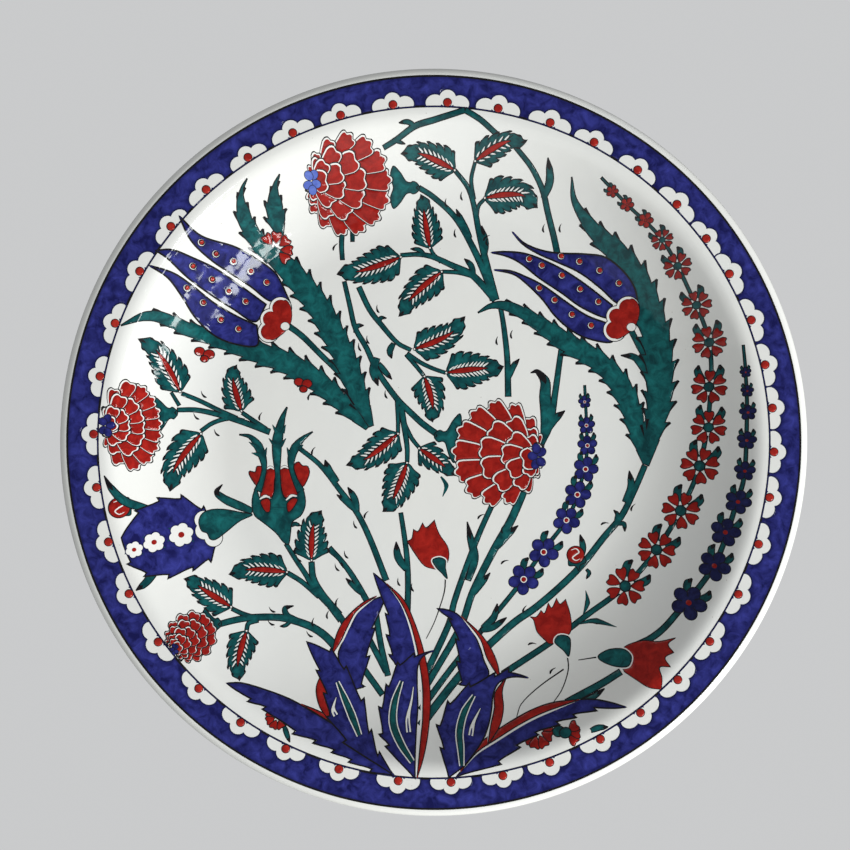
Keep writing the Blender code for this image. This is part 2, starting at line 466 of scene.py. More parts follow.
@dataclass(frozen=True)
class Carnation:
    """A carnation seen from the side, its toothed petals fanned in rows from a blue eye.

    Attributes:
        eye: the small blue tuft that the petals spring from.
        centre: middle of the whole flower.
        radii: half its length along and across its facing.
        facing: angle in degrees from the eye towards the calyx.
        rows: how far each row of petals reaches, outermost first, as shares of the full reach.
        counts: petals in each row.
        spread: degrees to either side of the facing that the petals cover.
        tuft: pigment of the eye.
    """

    eye: Point
    centre: Point
    radii: Point
    facing: float
    rows: tuple[float, ...] = (1.0, 0.7, 0.44, 0.22)
    counts: tuple[int, ...] = (15, 10, 7, 3)
    spread: float = 112.0
    tuft: Ink = Ink.COBALT

    def reach(self, angle: float) -> float:
        """Distance from the eye to the flower's oval outline along an angle in degrees."""
        turn = math.radians(self.facing)
        off = np.array(self.eye) - np.array(self.centre)
        c, s = math.cos(turn), math.sin(turn)
        u = (off[0] * c + off[1] * s) / self.radii[0]
        v = (-off[0] * s + off[1] * c) / self.radii[1]
        rel = math.radians(angle) - turn
        du, dv = math.cos(rel) / self.radii[0], math.sin(rel) / self.radii[1]
        a, b, k = du * du + dv * dv, 2 * (u * du + v * dv), u * u + v * v - 1
        return (-b + math.sqrt(max(0.0, b * b - 4 * a * k))) / (2 * a)

    def petal(self, angle: float, reach: Point, width: float, lobes: int, inset: float = 0.0) -> np.ndarray:
        """Wedge-shaped petal with a lobed round end.

        Args:
            angle: its direction in degrees.
            reach: distances of its two ends from the eye.
            width: its greatest width.
            lobes: lobes of its end.
            inset: how far inside the full petal the outline runs, in millimetres.

        Returns:
            The closed outline.
        """
        half = max(0.3, width / 2 - 0.8 * inset)
        cap = 0.5 * width
        crown = reach[1] - cap
        end = []
        for theta in np.linspace(-78, 78, 6 * lobes + 1):
            swell = 1 - 0.28 * abs(math.cos(math.radians(theta) * lobes * 90 / 78 + lobes * math.pi / 2)) ** 3
            t = math.radians(theta)
            end.append(
                (crown + (cap - inset) * math.cos(t) * swell, half * math.sin(t) * (0.55 + 0.45 * swell))
            )
        root = reach[0] + 0.6 * inset
        side = smooth(
            [(root, 0.10 * half), (root + 0.55 * (crown - root), 0.62 * half), end[-1]], step=0.8,
        )[:-1]
        flat = np.concatenate([side * (1, -1), np.array(end), side[::-1]])
        return placed(flat, self.eye, angle)

    def paint(self, on: Painting) -> None:
        """Lay the rows of petals, outermost first, then the blue tuft."""
        for row, (share, count) in enumerate(zip(self.rows, self.counts)):
            below = self.rows[row + 2] if row + 2 < len(self.rows) else 0.0
            step = 2 * self.spread / count
            for k in range(count):
                angle = self.facing + (k - (count - 1) / 2) * step + (row % 2) * 0.25 * step
                full = self.reach(angle)
                reach = (full * max(0.03, below), full * share)
                width = min(2.1 * reach[1] * math.sin(math.radians(step) / 2) + 1.6, 0.66 * self.radii[1])
                lobes = 2 + (row == 0 and width > 9)
                shade = self.petal(angle, (reach[0], reach[1] + 0.7), width + 1.2, lobes)
                on.fill(Ink.BLACK, shade)
                on.fill(Ink.BARE, self.petal(angle, reach, width, lobes))
                lean = math.copysign(math.degrees(0.28 / reach[1]), -math.cos(math.radians(angle)))
                on.fill(Ink.RED, self.petal(angle + lean, reach, width, lobes, 0.027 * self.radii[1] + 0.1))
        for k in range(5):
            a = math.radians(self.facing + 72 * k)
            grain = 0.1 * self.radii[1]
            spot = (self.eye[0] + 0.9 * grain * math.cos(a), self.eye[1] + 1.6 * grain * math.sin(a))
            on.inked(self.tuft, disc(spot, grain, 0.85, math.degrees(a), 16), 0.3)


@dataclass(frozen=True)
class Calyx:
    """The green cup between a stalk and a flower.

    Attributes:
        joint: where the stalk enters.
        mouth: middle of the edge that meets the flower.
        width: how wide the mouth is.
    """

    joint: Point
    mouth: Point
    width: float

    def paint(self, on: Painting) -> None:
        """Draw the lobed cup."""
        turn = heading(self.joint, self.mouth)
        length = math.dist(self.joint, self.mouth)
        w = self.width / 2
        top = [(-0.5, 1.0), (0.8, 2.6), (0.2 * length, 3.3), (0.32 * length, 2.7), (0.5 * length, 3.6)]
        top += [(0.72 * length, 0.72 * w), (length, w), (1.12 * length, 0.5 * w)]
        flat = top + [(1.0 * length, 0.0)] + [(x, -y) for x, y in reversed(top)]
        on.inked(Ink.GREEN, placed(smooth(flat, closed=True), self.joint, turn))
        on.stroke(
            Ink.BLACK, placed(np.array([(0, 0.9), (0.9, 0), (0, -0.9)]), self.joint, turn), (0.5, 0.7, 0.5),
        )


@dataclass(frozen=True)
class BlueTulip:
    """A large blue tulip: three dotted petals that rise from a red heart.

    Attributes:
        petals: each petal's upper edge from tip to heart, and its lower edge without those ends.
        lobes: middle and radius of each red lobe towards the petals.
        heart: outline of the heart's smooth side, from the first lobe to the last.
        notch: the white round where the stalk begins.
        dots: red dots with white rims.
    """

    petals: list[tuple[list[Point], list[Point]]]
    lobes: list[tuple[float, float, float]]
    heart: list[Point]
    notch: Point
    dots: list[Point]

    def paint(self, on: Painting) -> None:
        """Draw petals, heart and dots."""
        for upper, lower in self.petals:
            on.inked(Ink.COBALT, between(upper, lower), 1.0)
        for ink, rim in ((Ink.BLACK, 1.75), (Ink.BARE, 1.3), (Ink.RED, 0.0)):
            for x, z, radius in self.lobes:
                on.fill(ink, disc((x, z), radius + rim, sides=32))
            if ink is Ink.BARE:
                on.fill(Ink.BLACK, grown(smooth(self.heart, closed=True), 0.4))
        on.fill(Ink.RED, smooth(self.heart, closed=True))
        on.fill(Ink.BLACK, disc(self.notch, 2.7, 0.9))
        on.fill(Ink.BARE, disc(self.notch, 2.4, 0.9))
        for spot in self.dots:
            on.fill(Ink.BLACK, disc((spot[0] - 0.15, spot[1] - 0.15), 2.0, sides=18))
            on.fill(Ink.BARE, disc(spot, 1.75, sides=18))
            on.dot((spot[0] + 0.15, spot[1] + 0.1), 1.2)


@dataclass(frozen=True)
class RedTulip:
    """A small red tulip with a green cup and a hair-thin stalk.

    Attributes:
        outline: the flower as runs that meet in sharp corners, each without its first point.
        cup: outline of the green cup.
        stalks: thin black stalks.
    """

    outline: list[list[Point]]
    cup: list[Point]
    stalks: list[list[Point]]

    def paint(self, on: Painting) -> None:
        """Draw the stalks, the flower and its cup."""
        for stalk in self.stalks:
            on.stroke(Ink.BLACK, stalk, (0.8, 0.6, 0.45))
        runs = [[before[-1], *run] for before, run in zip([self.outline[-1], *self.outline], self.outline)]
        on.inked(Ink.RED, np.concatenate([smooth(run)[:-1] for run in runs]), 0.45)
        cup = smooth(self.cup, closed=True)
        on.fill(Ink.BARE, grown(cup, 0.9))
        on.inked(Ink.GREEN, cup)


class Petals(Enum):
    """How a small flower's petals are cut."""

    HEARTS = "hearts"
    ROUNDS = "rounds"


def heart_petal(r: float, wide: float) -> np.ndarray:
    """Heart-shaped petal that points along +X from the middle of its flower.

    Args:
        r: how far it reaches.
        wide: half its width.

    Returns:
        The closed outline.
    """
    half = [(0.30, 0.1), (0.5, 0.62), (0.78, 1.0), (0.98, 0.72), (0.91, 0.0)]
    flat = smooth([(x * r, y * wide) for x, y in half], step=0.5)
    return np.concatenate([flat, (flat * (1, -1))[::-1][1:]])


@dataclass(frozen=True)
class Floret:
    """A small open flower of a garland.

    Attributes:
        at: its middle.
        radius: middle to petal tip.
        petals: how many petals.
        cut: the petals' shape.
        ink: the petals' pigment.
        turn: angle of its first petal, in degrees.
    """

    at: Point
    radius: float
    petals: int
    cut: Petals
    ink: Ink
    turn: float = 90.0

    def paint(self, on: Painting) -> None:
        """Draw the petals round the middle."""
        r = self.radius
        on.fill(Ink.BARE, disc(self.at, 0.5 * r))
        for k in range(self.petals):
            angle = self.turn + 360 * k / self.petals
            if self.cut is Petals.HEARTS:
                shape = heart_petal(r, 2.0 / self.petals * r)
            else:
                shape = disc((0.6 * r, 0.0), 0.4 * r, 4.6 / self.petals, sides=20)
            on.inked(self.ink, placed(shape, self.at, angle), 0.45)
        if self.cut is Petals.HEARTS:
            on.fill(Ink.BLACK, disc(self.at, 0.31 * r))
            on.fill(Ink.GREEN, disc(self.at, 0.25 * r))
        else:
            on.fill(self.ink, disc(self.at, 0.36 * r))
            ring = {Ink.COBALT: Ink.BARE, Ink.NAVY: Ink.NAVY, Ink.RED: Ink.BLACK}[self.ink]
            on.fill(ring, disc(self.at, 0.22 * r, sides=14))
            on.fill(Ink.RED, disc(self.at, 0.16 * r, sides=12))


@dataclass(frozen=True)
class Garland:
    """A stalk strung with small flowers, each with a pair of leaf ears.

    Attributes:
        route: the stalk.
        florets: middle and radius of each flower, tip first.
        cut: how petals are cut.
        ink: petal pigment.
        full: petals of a full flower.
        widths: the stalk's widths, tip first.
    """

    route: list[Point]
    florets: list[tuple[float, float, float]]
    cut: Petals
    ink: Ink
    full: int
    widths: tuple[float, ...] = (1.2, 1.8, 2.4, 3.2)

    def paint(self, on: Painting) -> None:
        """Draw the stalk, the ears and the flowers."""
        on.inked_stroke(Ink.GREEN, self.route, self.widths)
        for k, (x, z, r) in enumerate(self.florets):
            nearer = self.florets[max(0, k - 1)]
            further = self.florets[min(len(self.florets) - 1, k + 1)]
            up = heading(further[:2], nearer[:2])
            for side in (-1, 1):
                spine = []
                for reach, off in ((0.35, 30), (0.8, 37), (1.12, 34), (1.42, 24)):
                    turn = math.radians(up + side * off)
                    spine.append((x + reach * r * math.cos(turn), z + reach * r * math.sin(turn)))
                line = smooth(spine, step=0.5)
                on.inked(Ink.GREEN, brush(line, (0.2 * r, 0.32 * r, 0.42 * r, 0.4 * r, 0.08 * r)), 0.45)
                tip = line[int(0.7 * len(line)) :]
                on.fill(Ink.BLACK, brush(tip, (0.1, 0.2 * r, 0.2 * r, 0.1)))
            small = r < 4.2
            cut = Petals.ROUNDS if small else self.cut
            Floret((x, z), r, 5 if small else self.full, cut, self.ink, up + 4 * (-1) ** k).paint(on)


def toothed(teeth: list[Point], side: float, flare: float = 1.9) -> tuple[np.ndarray, list[np.ndarray]]:
    """Leaf edge whose teeth point forward.

    Args:
        teeth: the edge from root to tip, one point a tooth.
        side: 1 where the outside lies to the left of the way it is drawn, -1 to the right.
        flare: how far the teeth stand out, in millimetres.

    Returns:
        The edge, and the short run at each tooth.
    """
    edge, tips = [], []
    for here, there in zip(teeth, teeth[1:]):
        a, b = np.array(here, float), np.array(there, float)
        along = b - a
        length = np.linalg.norm(along)
        out = np.array([-along[1], along[0]]) * side / length
        stand = 0.0 if there == teeth[-1] else flare
        run = [a, a + 0.3 * along + out * 0.3, a + 0.7 * along + out * (0.35 + 0.45 * stand)]
        run.append(b + along / length * 0.5 * stand + out * stand)
        line = smooth(run, step=0.7)
        edge.append(line)
        if stand:
            tips.append(line[-5:])
    return np.concatenate(edge), tips


@dataclass(frozen=True)
class Blade:
    """A pointed leaf with forward-pointing teeth along one edge or both.

    Attributes:
        teeth: the toothed edge, from root to tip, one point a tooth.
        plain: the plain edge from tip to root, empty where both edges are toothed.
        far_teeth: the other toothed edge, from root to tip. Like the plain edge it leaves out the
            tip and the root.
        side: 1 where the outside lies to the left of the teeth as drawn, -1 to the right.
        ink: its pigment.
    """

    teeth: list[Point]
    plain: list[Point] = field(default_factory=list)
    far_teeth: list[Point] = field(default_factory=list)
    side: float = 1.0
    ink: Ink = Ink.COBALT

    def paint(self, on: Painting) -> None:
        """Draw the blade and the dark tips of its teeth."""
        edge, tips = toothed(self.teeth, self.side)
        if self.plain:
            far = smooth([self.teeth[-1], *self.plain, self.teeth[0]])[1:-1]
        else:
            far, more = toothed([self.teeth[0], *self.far_teeth, self.teeth[-1]], -self.side)
            far, tips = far[::-1][1:-1], tips + more
        on.inked(self.ink, np.concatenate([edge, far]), 0.8)
        for tip in tips:
            on.fill(Ink.BLACK, brush(tip, (0.2, 0.9, 1.1, 0.4)))


@dataclass(frozen=True)
class TurnedEdge:
    """Red turned-over edge of a leaf, with a white line against the blue.

    Attributes:
        outer: its outer edge.
        inner: its inner edge without the ends, which it shares with the outer one.
    """

    outer: list[Point]
    inner: list[Point]

    def paint(self, on: Painting) -> None:
        """Draw the white line, then the red."""
        inner = [self.outer[0], *self.inner, self.outer[-1]]
        on.stroke(Ink.BARE, inner, (0.4, 2.4, 2.6, 2.4, 0.4))
        on.inked(Ink.RED, between(self.outer, self.inner), 0.6)


@dataclass(frozen=True)
class Vein:
    """A green vein between white lines, with its route and widths."""

    route: list[Point]
    widths: tuple[float, ...]

    def paint(self, on: Painting) -> None:
        """Draw the white lines, then the vein."""
        line = smooth(self.route)
        on.fill(Ink.BARE, brush(line, tuple(w + 1.9 for w in self.widths)))
        on.fill(Ink.BLACK, brush(line, tuple(w + 0.7 for w in self.widths)))
        on.fill(Ink.GREEN, brush(line, self.widths))


@dataclass(frozen=True)
class WhiteDrop:
    """A white drop with a blue heart."""

    route: list[Point]

    def paint(self, on: Painting) -> None:
        """Draw the drop."""
        line = smooth(self.route)
        on.fill(Ink.BLACK, brush(line, (3.2, 3.0, 2.0, 1.4, 0.8)))
        on.fill(Ink.BARE, brush(line, (2.6, 2.4, 1.4, 0.9, 0.3)))
        on.fill(Ink.COBALT, brush(line[: len(line) // 3], (0.8, 1.0, 0.3)))


@dataclass(frozen=True)
class Scallops:
    """The blue border with its row of half rosettes.

    Attributes:
        outer: radius where the blue ends towards the lip.
        inner: radius where it ends towards the flowers.
        places: where the half rosettes stand, in degrees clockwise from the top.
        rim_line: width of the black line at the lip.
        inner_line: width of the black line inside.
    """

    outer: float = 195.0
    inner: float = 180.2
    places: tuple[float, ...] = (
        (2.3, 10.9, 20, 28.1, 36.8, 45.6, 53.2, 60.3, 68.9, 76.8, 84.2, 91.6, 99.3, 107.4)
        + (116.5, 125.8, 134.2, 142.6, 150.7, 160.1, 168.3, 177.1, 186, 196.2, 205.8, 214.6, 223.7, 234.1)
        + (243.6, 253, 262.4, 271.4, 281.2, 290.5, 300.2, 309.4, 318, 326.9, 335.5, 344.1, 353.1)
    )
    rim_line: float = 1.1
    inner_line: float = 1.25

    def paint(self, on: Painting) -> None:
        """Paint the band, its lines and the rosettes that stand on the inner line."""
        for ink, radius in (
            (Ink.BLACK, self.outer + self.rim_line), (Ink.COBALT, self.outer), (Ink.BLACK, self.inner),
            (Ink.BARE, self.inner - self.inner_line),
        ):
            on.fill(ink, disc((0, 0), radius, sides=480))
        hand = np.random.default_rng(7)
        for place in self.places:
            self.rosette(on, 90 - place, hand.uniform(0.95, 1.05))

    def rosette(self, on: Painting, angle: float, size: float) -> None:
        """Paint three white petals about a raised red dot."""
        foot = self.inner - 0.4
        petals = []
        for across, lift, radius, squash, lean in (
            (-7.0, 2.0, 4.5, 0.84, 24), (7.0, 2.0, 4.5, 0.84, -24), (0, 4.0, 4.5, 0.96, 90),
        ):
            shape = disc((across * size, lift * size), radius * size, squash, lean)
            shape[:, 1] = np.maximum(shape[:, 1], 0.15)
            wrap = math.radians(angle) - shape[:, 0] / foot
            reach = foot + shape[:, 1]
            petals.append(np.stack([reach * np.cos(wrap), reach * np.sin(wrap)], axis=1))
        for petal in petals:
            on.fill(Ink.NAVY, grown(petal, 0.75))
        for petal in petals:
            on.fill(Ink.BARE, petal)
        a = math.radians(angle)
        on.dot(((foot + 1.9) * math.cos(a), (foot + 1.9) * math.sin(a)), 2.1)


# ---- the design


# Widths of the commonest stalks.
SLIM = (2.2, 2.8, 3.2)
STOUT = (3.0, 3.6, 4.2)
# Route and widths of each stalk.
STALKS = [
    ([(16.7, 177.6), (10, 175.5), (0, 172.5), (-10, 169.5), (-20, 163), (-27, 159)], (3, 3, 2.4)),
    ([(16.7, 177.6), (25, 172.5), (33, 166), (41, 160.5)], (3, 2.6, 2)),
    ([(43, 160), (52, 150), (57, 142), (60, 135), (62.5, 125), (66, 112), (68, 103)], SLIM),
    ([(34, 78), (29, 98), (25, 115), (22, 130), (18.5, 139.5), (11.5, 148)], (4, 3, 2)),
    ([(22, 133), (20.5, 143), (22.5, 152)], (2, 1.6)), ([(23.5, 122), (24.5, 129), (28, 133)], (2, 1.6)),
    ([(-8, 139), (0, 134), (12, 123), (22, 106), (30, 88), (33, 78)], (2.6, 3, 4)),
    ([(34, 78), (27, 86), (20, 92.5), (10, 97), (0, 101.5), (-8, 103), (-18, 102.5)], (4, 3, 2)),
    ([(4, 99), (0, 103), (-2, 107)], (2, 1.6)), ([(22, 91), (14, 93), (5, 93.5)], (2.4, 1.8)),
    ([(36, 77), (37.5, 70), (39, 60), (40.5, 45), (41, 25)], SLIM),
    ([(-50, 118), (-50.5, 108), (-50, 100)], (2.6, 2.2)), ([(-44.5, 118), (-44.5, 110)], (2.2, 2)),
    ([(-49, 88), (-46, 75), (-43, 62.5), (-37, 52), (-32, 41), (-27, 33), (-19.5, 23), (-13, 16.5),
      (-6, 10), (1.5, 4.5)], SLIM),
    ([(-41, 85), (-35, 72.5), (-28, 63.5), (-20, 54.5), (-12.5, 50.5)], (2.8, 2.6, 2)),
    ([(-14.5, 48.5), (-7, 43.5), (0.5, 40), (6.5, 38)], (2.2, 1.8)),
    ([(-15, 48), (-9, 41), (-5.5, 36.5)], (2.2, 1.8)), ([(-20, 23), (-19.5, 12), (-19.5, 5)], (2.2, 1.8)),
    ([(-18, 20), (-16, 8), (-14.5, -3), (-14.5, -11)], (3.4, 2)),
    ([(-16, 10), (-12, 2), (-8, -3)], (2.2, 1.8)),
    ([(-18, -39), (-16, -52), (-14.5, -65), (-14, -80), (-14.5, -96)], SLIM),
    ([(-73, -4), (-62, -13), (-51, -27), (-42, -39), (-35, -53), (-26, -76)], SLIM),
    ([(-57, -58), (-50, -66), (-43, -76), (-34, -92)], SLIM),
    ([(-67, -66), (-66, -75), (-61, -84), (-52, -95)], STOUT),
    ([(-80, -72), (-72, -77), (-63, -85)], (2.4, 2.4)),
    ([(-81, -56), (-76, -64), (-70, -73), (-66, -80), (-60, -87), (-52, -95), (-46, -105)], SLIM),
    ([(-140, 17.5), (-130, 17.5), (-118, 15), (-105, 11), (-90, 5.5)], SLIM),
    ([(-137.5, 26.5), (-128, 22.5), (-118, 17.5), (-108, 13)], (2, 2.2)),
    ([(-127.5, 6), (-121, 10.5), (-112, 13), (-104, 11.5)], (2, 2.2)),
    ([(-105, 16), (-100, 12.5), (-92, 7)], (2, 2.4)),
    ([(-117, -99), (-108, -97), (-100, -96), (-88, -96), (-80, -97), (-68, -101), (-60, -106), (-54, -112)],
     STOUT), ([(-110, -91), (-104, -94), (-98, -96)], (2, 2.4)),
    ([(-102, -103), (-101, -99), (-96, -97.5)], (2, 2.4)),
    ([(32, -35), (26.5, -47), (22, -58), (15.5, -75.5), (11, -89), (8, -101), (-6, -131)], (2.6, 3, 3.4)),
    ([(71, 56), (69.6, 47), (66.8, 27), (64, 9.7), (58.5, -2), (52.5, -19), (43, -42), (33, -59.5),
      (21.5, -82.5), (14, -103), (-6, -137)], (2.6, 3.2, 4, 4.2, 3.6, 3.4, 3.2)),
    ([(116, -13), (110, -27), (103, -41), (93, -53), (82, -67), (70, -79), (56, -91), (42, -101),
      (18, -124), (-7, -154)], STOUT), ([(-32, -92), (-29, -111), (-25, -128)], (3, 3)),
    ([(-57, -90), (-51, -98)], (3, 3)), ([(-36, -107), (-26, -126)], (3, 3)),
    ([(-40, -122), (-28, -138)], (3, 3)),
    ([(-80, 64), (-72, 58), (-62, 48), (-53, 39), (-46, 30)], (3, 2.8, 2.4)),
    ([(108, 62), (113, 52), (118, 42), (121, 26)], (3, 2.8, 2.4)), ([(-139, 20), (-143, 27)], (1.8, 1.4)),
]
# Route and greatest width of each leaflet on a stalk.
SPURS = [
    ([(-10, 169.5), (-14, 171.5), (-18.5, 171)], 2.4),
    ([(-22, 163), (-19, 162), (-15.5, 161)], 1.8), ([(60, 133), (63, 142), (61.5, 153)], 4.0),
    ([(20, 112), (16, 120), (12.5, 127.5)], 3.4), ([(27, 100), (28.5, 109), (26.5, 118.5)], 3.4),
    ([(22, 92), (20.5, 97), (17, 100.5)], 3.0), ([(-5, 103), (-8, 105.5), (-12.5, 106)], 2.2),
    ([(40.5, 34), (43.5, 41), (47, 45.5)], 3.2), ([(-43, 60), (-42, 63.5), (-38.5, 64)], 2.4),
    ([(-31, 46), (-33, 39), (-30.5, 31)], 4.4), ([(-30, 43), (-27, 39), (-23, 34.5)], 3.0),
    ([(-30, 65), (-29, 68), (-26, 68)], 2.0), ([(-22, 54), (-24, 50), (-23, 46)], 3.2),
    ([(-15, -70), (-19.5, -63), (-20.5, -55)], 4.0), ([(-53, -22), (-57, -17), (-59.5, -10)], 4.4),
    ([(-42, -38), (-43.5, -31), (-47, -25)], 3.6), ([(-44, -37), (-48, -33), (-53, -29)], 2.6),
    ([(-40, -83), (-44, -79), (-48, -75)], 2.8), ([(-78, -46), (-76, -45), (-73, -46)], 2.0),
    ([(-74, -98), (-80, -95.5), (-81.5, -91.5), (-77, -90)], 3.0),
    ([(-78, -98), (-81, -100.5), (-84, -101)], 1.8),
    ([(19, -76), (22.5, -64), (20.5, -54), (18.5, -44)], 4.2),
    ([(34, -58.5), (40, -51.5), (46.3, -46)], 4.0), ([(20, -85), (25, -79), (31, -72)], 3.6),
    ([(61, 4), (62, 14), (61.2, 25), (61.3, 33), (57, 38.5), (53.5, 38)], 6.2),
    ([(61, 5), (66, 12), (72, 17)], 4.4), ([(105, -33), (108.5, -25), (107.5, -16)], 4.0),
    ([(100, -44), (101, -40), (99, -37.5)], 2.2), ([(101, -45), (104.5, -45), (105, -49)], 2.2),
    ([(-57, -60), (-52, -64), (-49.5, -69)], 2.0), ([(118, 36), (111, 46), (103, 47.5)], 3.8),
]
# Where the loose black commas lie.
COMMAS = [
    (-30.5, 73), (-36, 56), (-40.5, 52), (-26, 26), (29.5, 110), (35, 55.5), (43, 59), (15.5, 134.5),
    (7, 131), (12, 114.5), (29, 112), (60.5, 117), (69.5, 117), (-54, 107), (-126, 26), (-95, 14),
    (-130, 14), (-119, 5), (-66, -5), (-74, -64), (-43, -45.5), (-37, -40), (-48, -62), (-53, -69),
    (-19, -77), (-11.5, -80), (-53, -88), (-58, -95), (-88.5, -92), (-89, -99), (-66, -99), (-68, -105.5),
    (26, -41), (38, -48), (39, -66), (109.5, -36), (94, -45), (-68, 25), (54, -111), (65, -125), (50, -92),
]
# Base, tip, width, bend, hook and teeth of each toothed leaf.
SPRIG_LEAVES = [
    ((11.5, 148), (-17, 158), 16, -1.5, 2.0, 6), ((22.5, 152.5), (50, 162), 13, 3.0, 0, 5),
    ((28, 133.5), (57, 131), 18, 3.0, -3.0, 6), ((-2, 106.5), (-6, 135.5), 15, 0.5, 1.0, 6),
    ((-18, 101.5), (-53, 92), 18, 1.5, 0, 7), ((4.5, 93.5), (-19, 69), 16, -2.0, 0, 6),
    ((-10.5, 51), (18, 67.5), 16, -2.5, 1.5, 6), ((7, 38), (38.5, 40.5), 19, 0.8, 1.0, 6),
    ((-5, 36), (-0.5, 11), 16, 1.5, 0, 5), ((-19.5, 4.5), (-47, -14), 16, 1.5, -1.5, 6),
    ((-14.5, -11.5), (-26, -39), 18, 0.5, -2.0, 6), ((-8, -3.5), (12, -18.5), 13, 0.5, 0, 4),
    ((-138.5, 27.5), (-156, 57), 16, -1.5, 3.0, 6), ((-105.5, 17), (-111, 41.5), 15, 0.8, -3.0, 5),
    ((-127.5, 4.5), (-145, -26), 18, -2.5, 1.5, 6), ((-67, -65), (-63.5, -37.5), 17, 1.5, -2.0, 5),
    ((-80.5, -71.5), (-112, -71.5), 17, -1.5, 1.0, 6), ((-110.5, -90), (-134.5, -73), 15, 0.5, 1.5, 5),
    ((-102, -103), (-105.5, -128), 14, -1.5, 1.0, 5),
]
# Spine, half widths and teeth of each long leaf.
LONG_LEAVES = [
    ([(-90, 104), (-78, 93), (-69, 82), (-61, 71), (-55, 59), (-49, 47), (-44, 33), (-38, 18), (-34, 8)],
     (4.5, 6, 6.6, 6.6, 6.6, 6.4, 6, 4.5, 1.2), 10),
    ([(-167, 62.5), (-155, 67.5), (-146, 67), (-135, 62), (-122, 57.5), (-108, 53), (-95, 48.5), (-82, 44),
      (-70, 37.5), (-58, 28.5), (-47, 18), (-36, 7)], (0.3, 2.4, 3.4, 4, 4.6, 5.4, 6, 6.2, 6, 5.4, 4, 1),
     13),
    ([(74.5, 143), (77, 130), (88, 115), (101, 102), (112, 86), (119.5, 66), (123.5, 45), (123.5, 22),
      (120, 3), (117, -13)], (0.2, 2.2, 4.8, 6.5, 7, 7.5, 7.5, 7, 5, 1.2), 13),
    ([(24.5, 71), (31, 74.5), (38, 75), (48, 71.5), (60, 63.5), (74, 54), (88, 46), (99, 36), (107, 22),
      (112, 6), (116.5, -12)], (0.3, 2.2, 3.4, 4.5, 5.5, 5.5, 5.5, 6, 5.5, 4.5, 1.5), 12),
    ([(-99.9, 141), (-102.5, 136), (-103.6, 130), (-101.5, 119), (-95, 108), (-88, 100)],
     (0.2, 1.2, 3.6, 4.4, 4.6, 4), 4),
    ([(-82.9, 144), (-85.5, 138), (-86.3, 130), (-85.7, 122), (-84, 113)], (0.2, 1.6, 4.4, 4.8, 2), 3),
]
# The two large blue tulips.
TULIPS = [
    BlueTulip(
        petals=[
            ([(-136, 121), (-125, 111), (-109, 106.5), (-100, 102), (-90, 95.5), (-85, 90), (-79, 77)],
             [(-130, 108), (-121, 99), (-111.5, 92.5), (-100, 85), (-90, 77.5)]),
            ([(-148.5, 102.5), (-140, 103), (-130, 99.5), (-118, 94), (-105, 85), (-92, 75.5)], [(-142, 98),
              (-133, 89), (-121, 80), (-110, 73), (-98, 66)]),
            ([(-152, 94.5), (-140, 91), (-131, 85), (-120, 76), (-108, 69), (-97, 64)], [(-143, 88.5),
              (-137, 80), (-130, 68), (-121, 59), (-110, 54), (-97, 53)]),
        ],
        lobes=[(-84, 73.5, 4.6), (-89.5, 67.5, 4.2), (-90.5, 60.5, 4.4)],
        heart=[
            (-82, 77.5), (-79, 75), (-78, 70), (-79, 64.5), (-83, 59.5), (-89, 56.2), (-90, 62), (-86, 70),
        ],
        notch=(-81.5, 63.5),
        dots=[
            (-125, 107.5), (-118, 102), (-109, 98.5), (-100, 93.5), (-91.5, 87.5), (-130, 95),
            (-120.5, 88.5), (-112, 82.5), (-103, 77), (-133.5, 83.5), (-125.5, 76), (-116.5, 67),
            (-107, 62),
        ],
    ),
    BlueTulip(
        petals=[
            ([(43, 115.5), (50, 109), (60, 105), (70, 103.5), (82, 103), (94, 101), (104, 93), (110, 84),
              (112, 74)], [(49, 108.5), (58, 103), (66, 99.5), (80, 93), (92, 84), (101, 76)]),
            ([(31.5, 104), (40, 104.5), (50, 103.5), (60, 100), (72, 94), (84, 86), (98, 75)], [(40, 102),
              (48, 98), (58, 90), (70, 82), (82, 73.5), (96, 68)]),
            ([(33, 94.5), (42, 94), (50, 91), (60, 86), (72, 77.5), (84, 69.5), (96, 65)], [(44, 92),
              (52, 86), (60, 78), (66, 70), (74, 62.5), (84, 57), (98, 55)]),
        ],
        lobes=[(106.5, 73.5, 4.8), (100.5, 69, 4.2), (99.5, 61.5, 4.8)],
        heart=[
            (108, 78), (111.5, 76), (112.6, 71), (111, 65), (107, 60), (100.5, 56.8), (99, 62), (104, 71),
        ],
        notch=(108.5, 63),
        dots=[
            (70, 102), (80, 99), (91, 94), (101.5, 87), (52.5, 100.5), (59.5, 97), (70.5, 91.5), (80.5, 84),
            (90.5, 77), (58, 84.5), (66.5, 78), (76, 70), (86.5, 64),
        ],
    ),
]
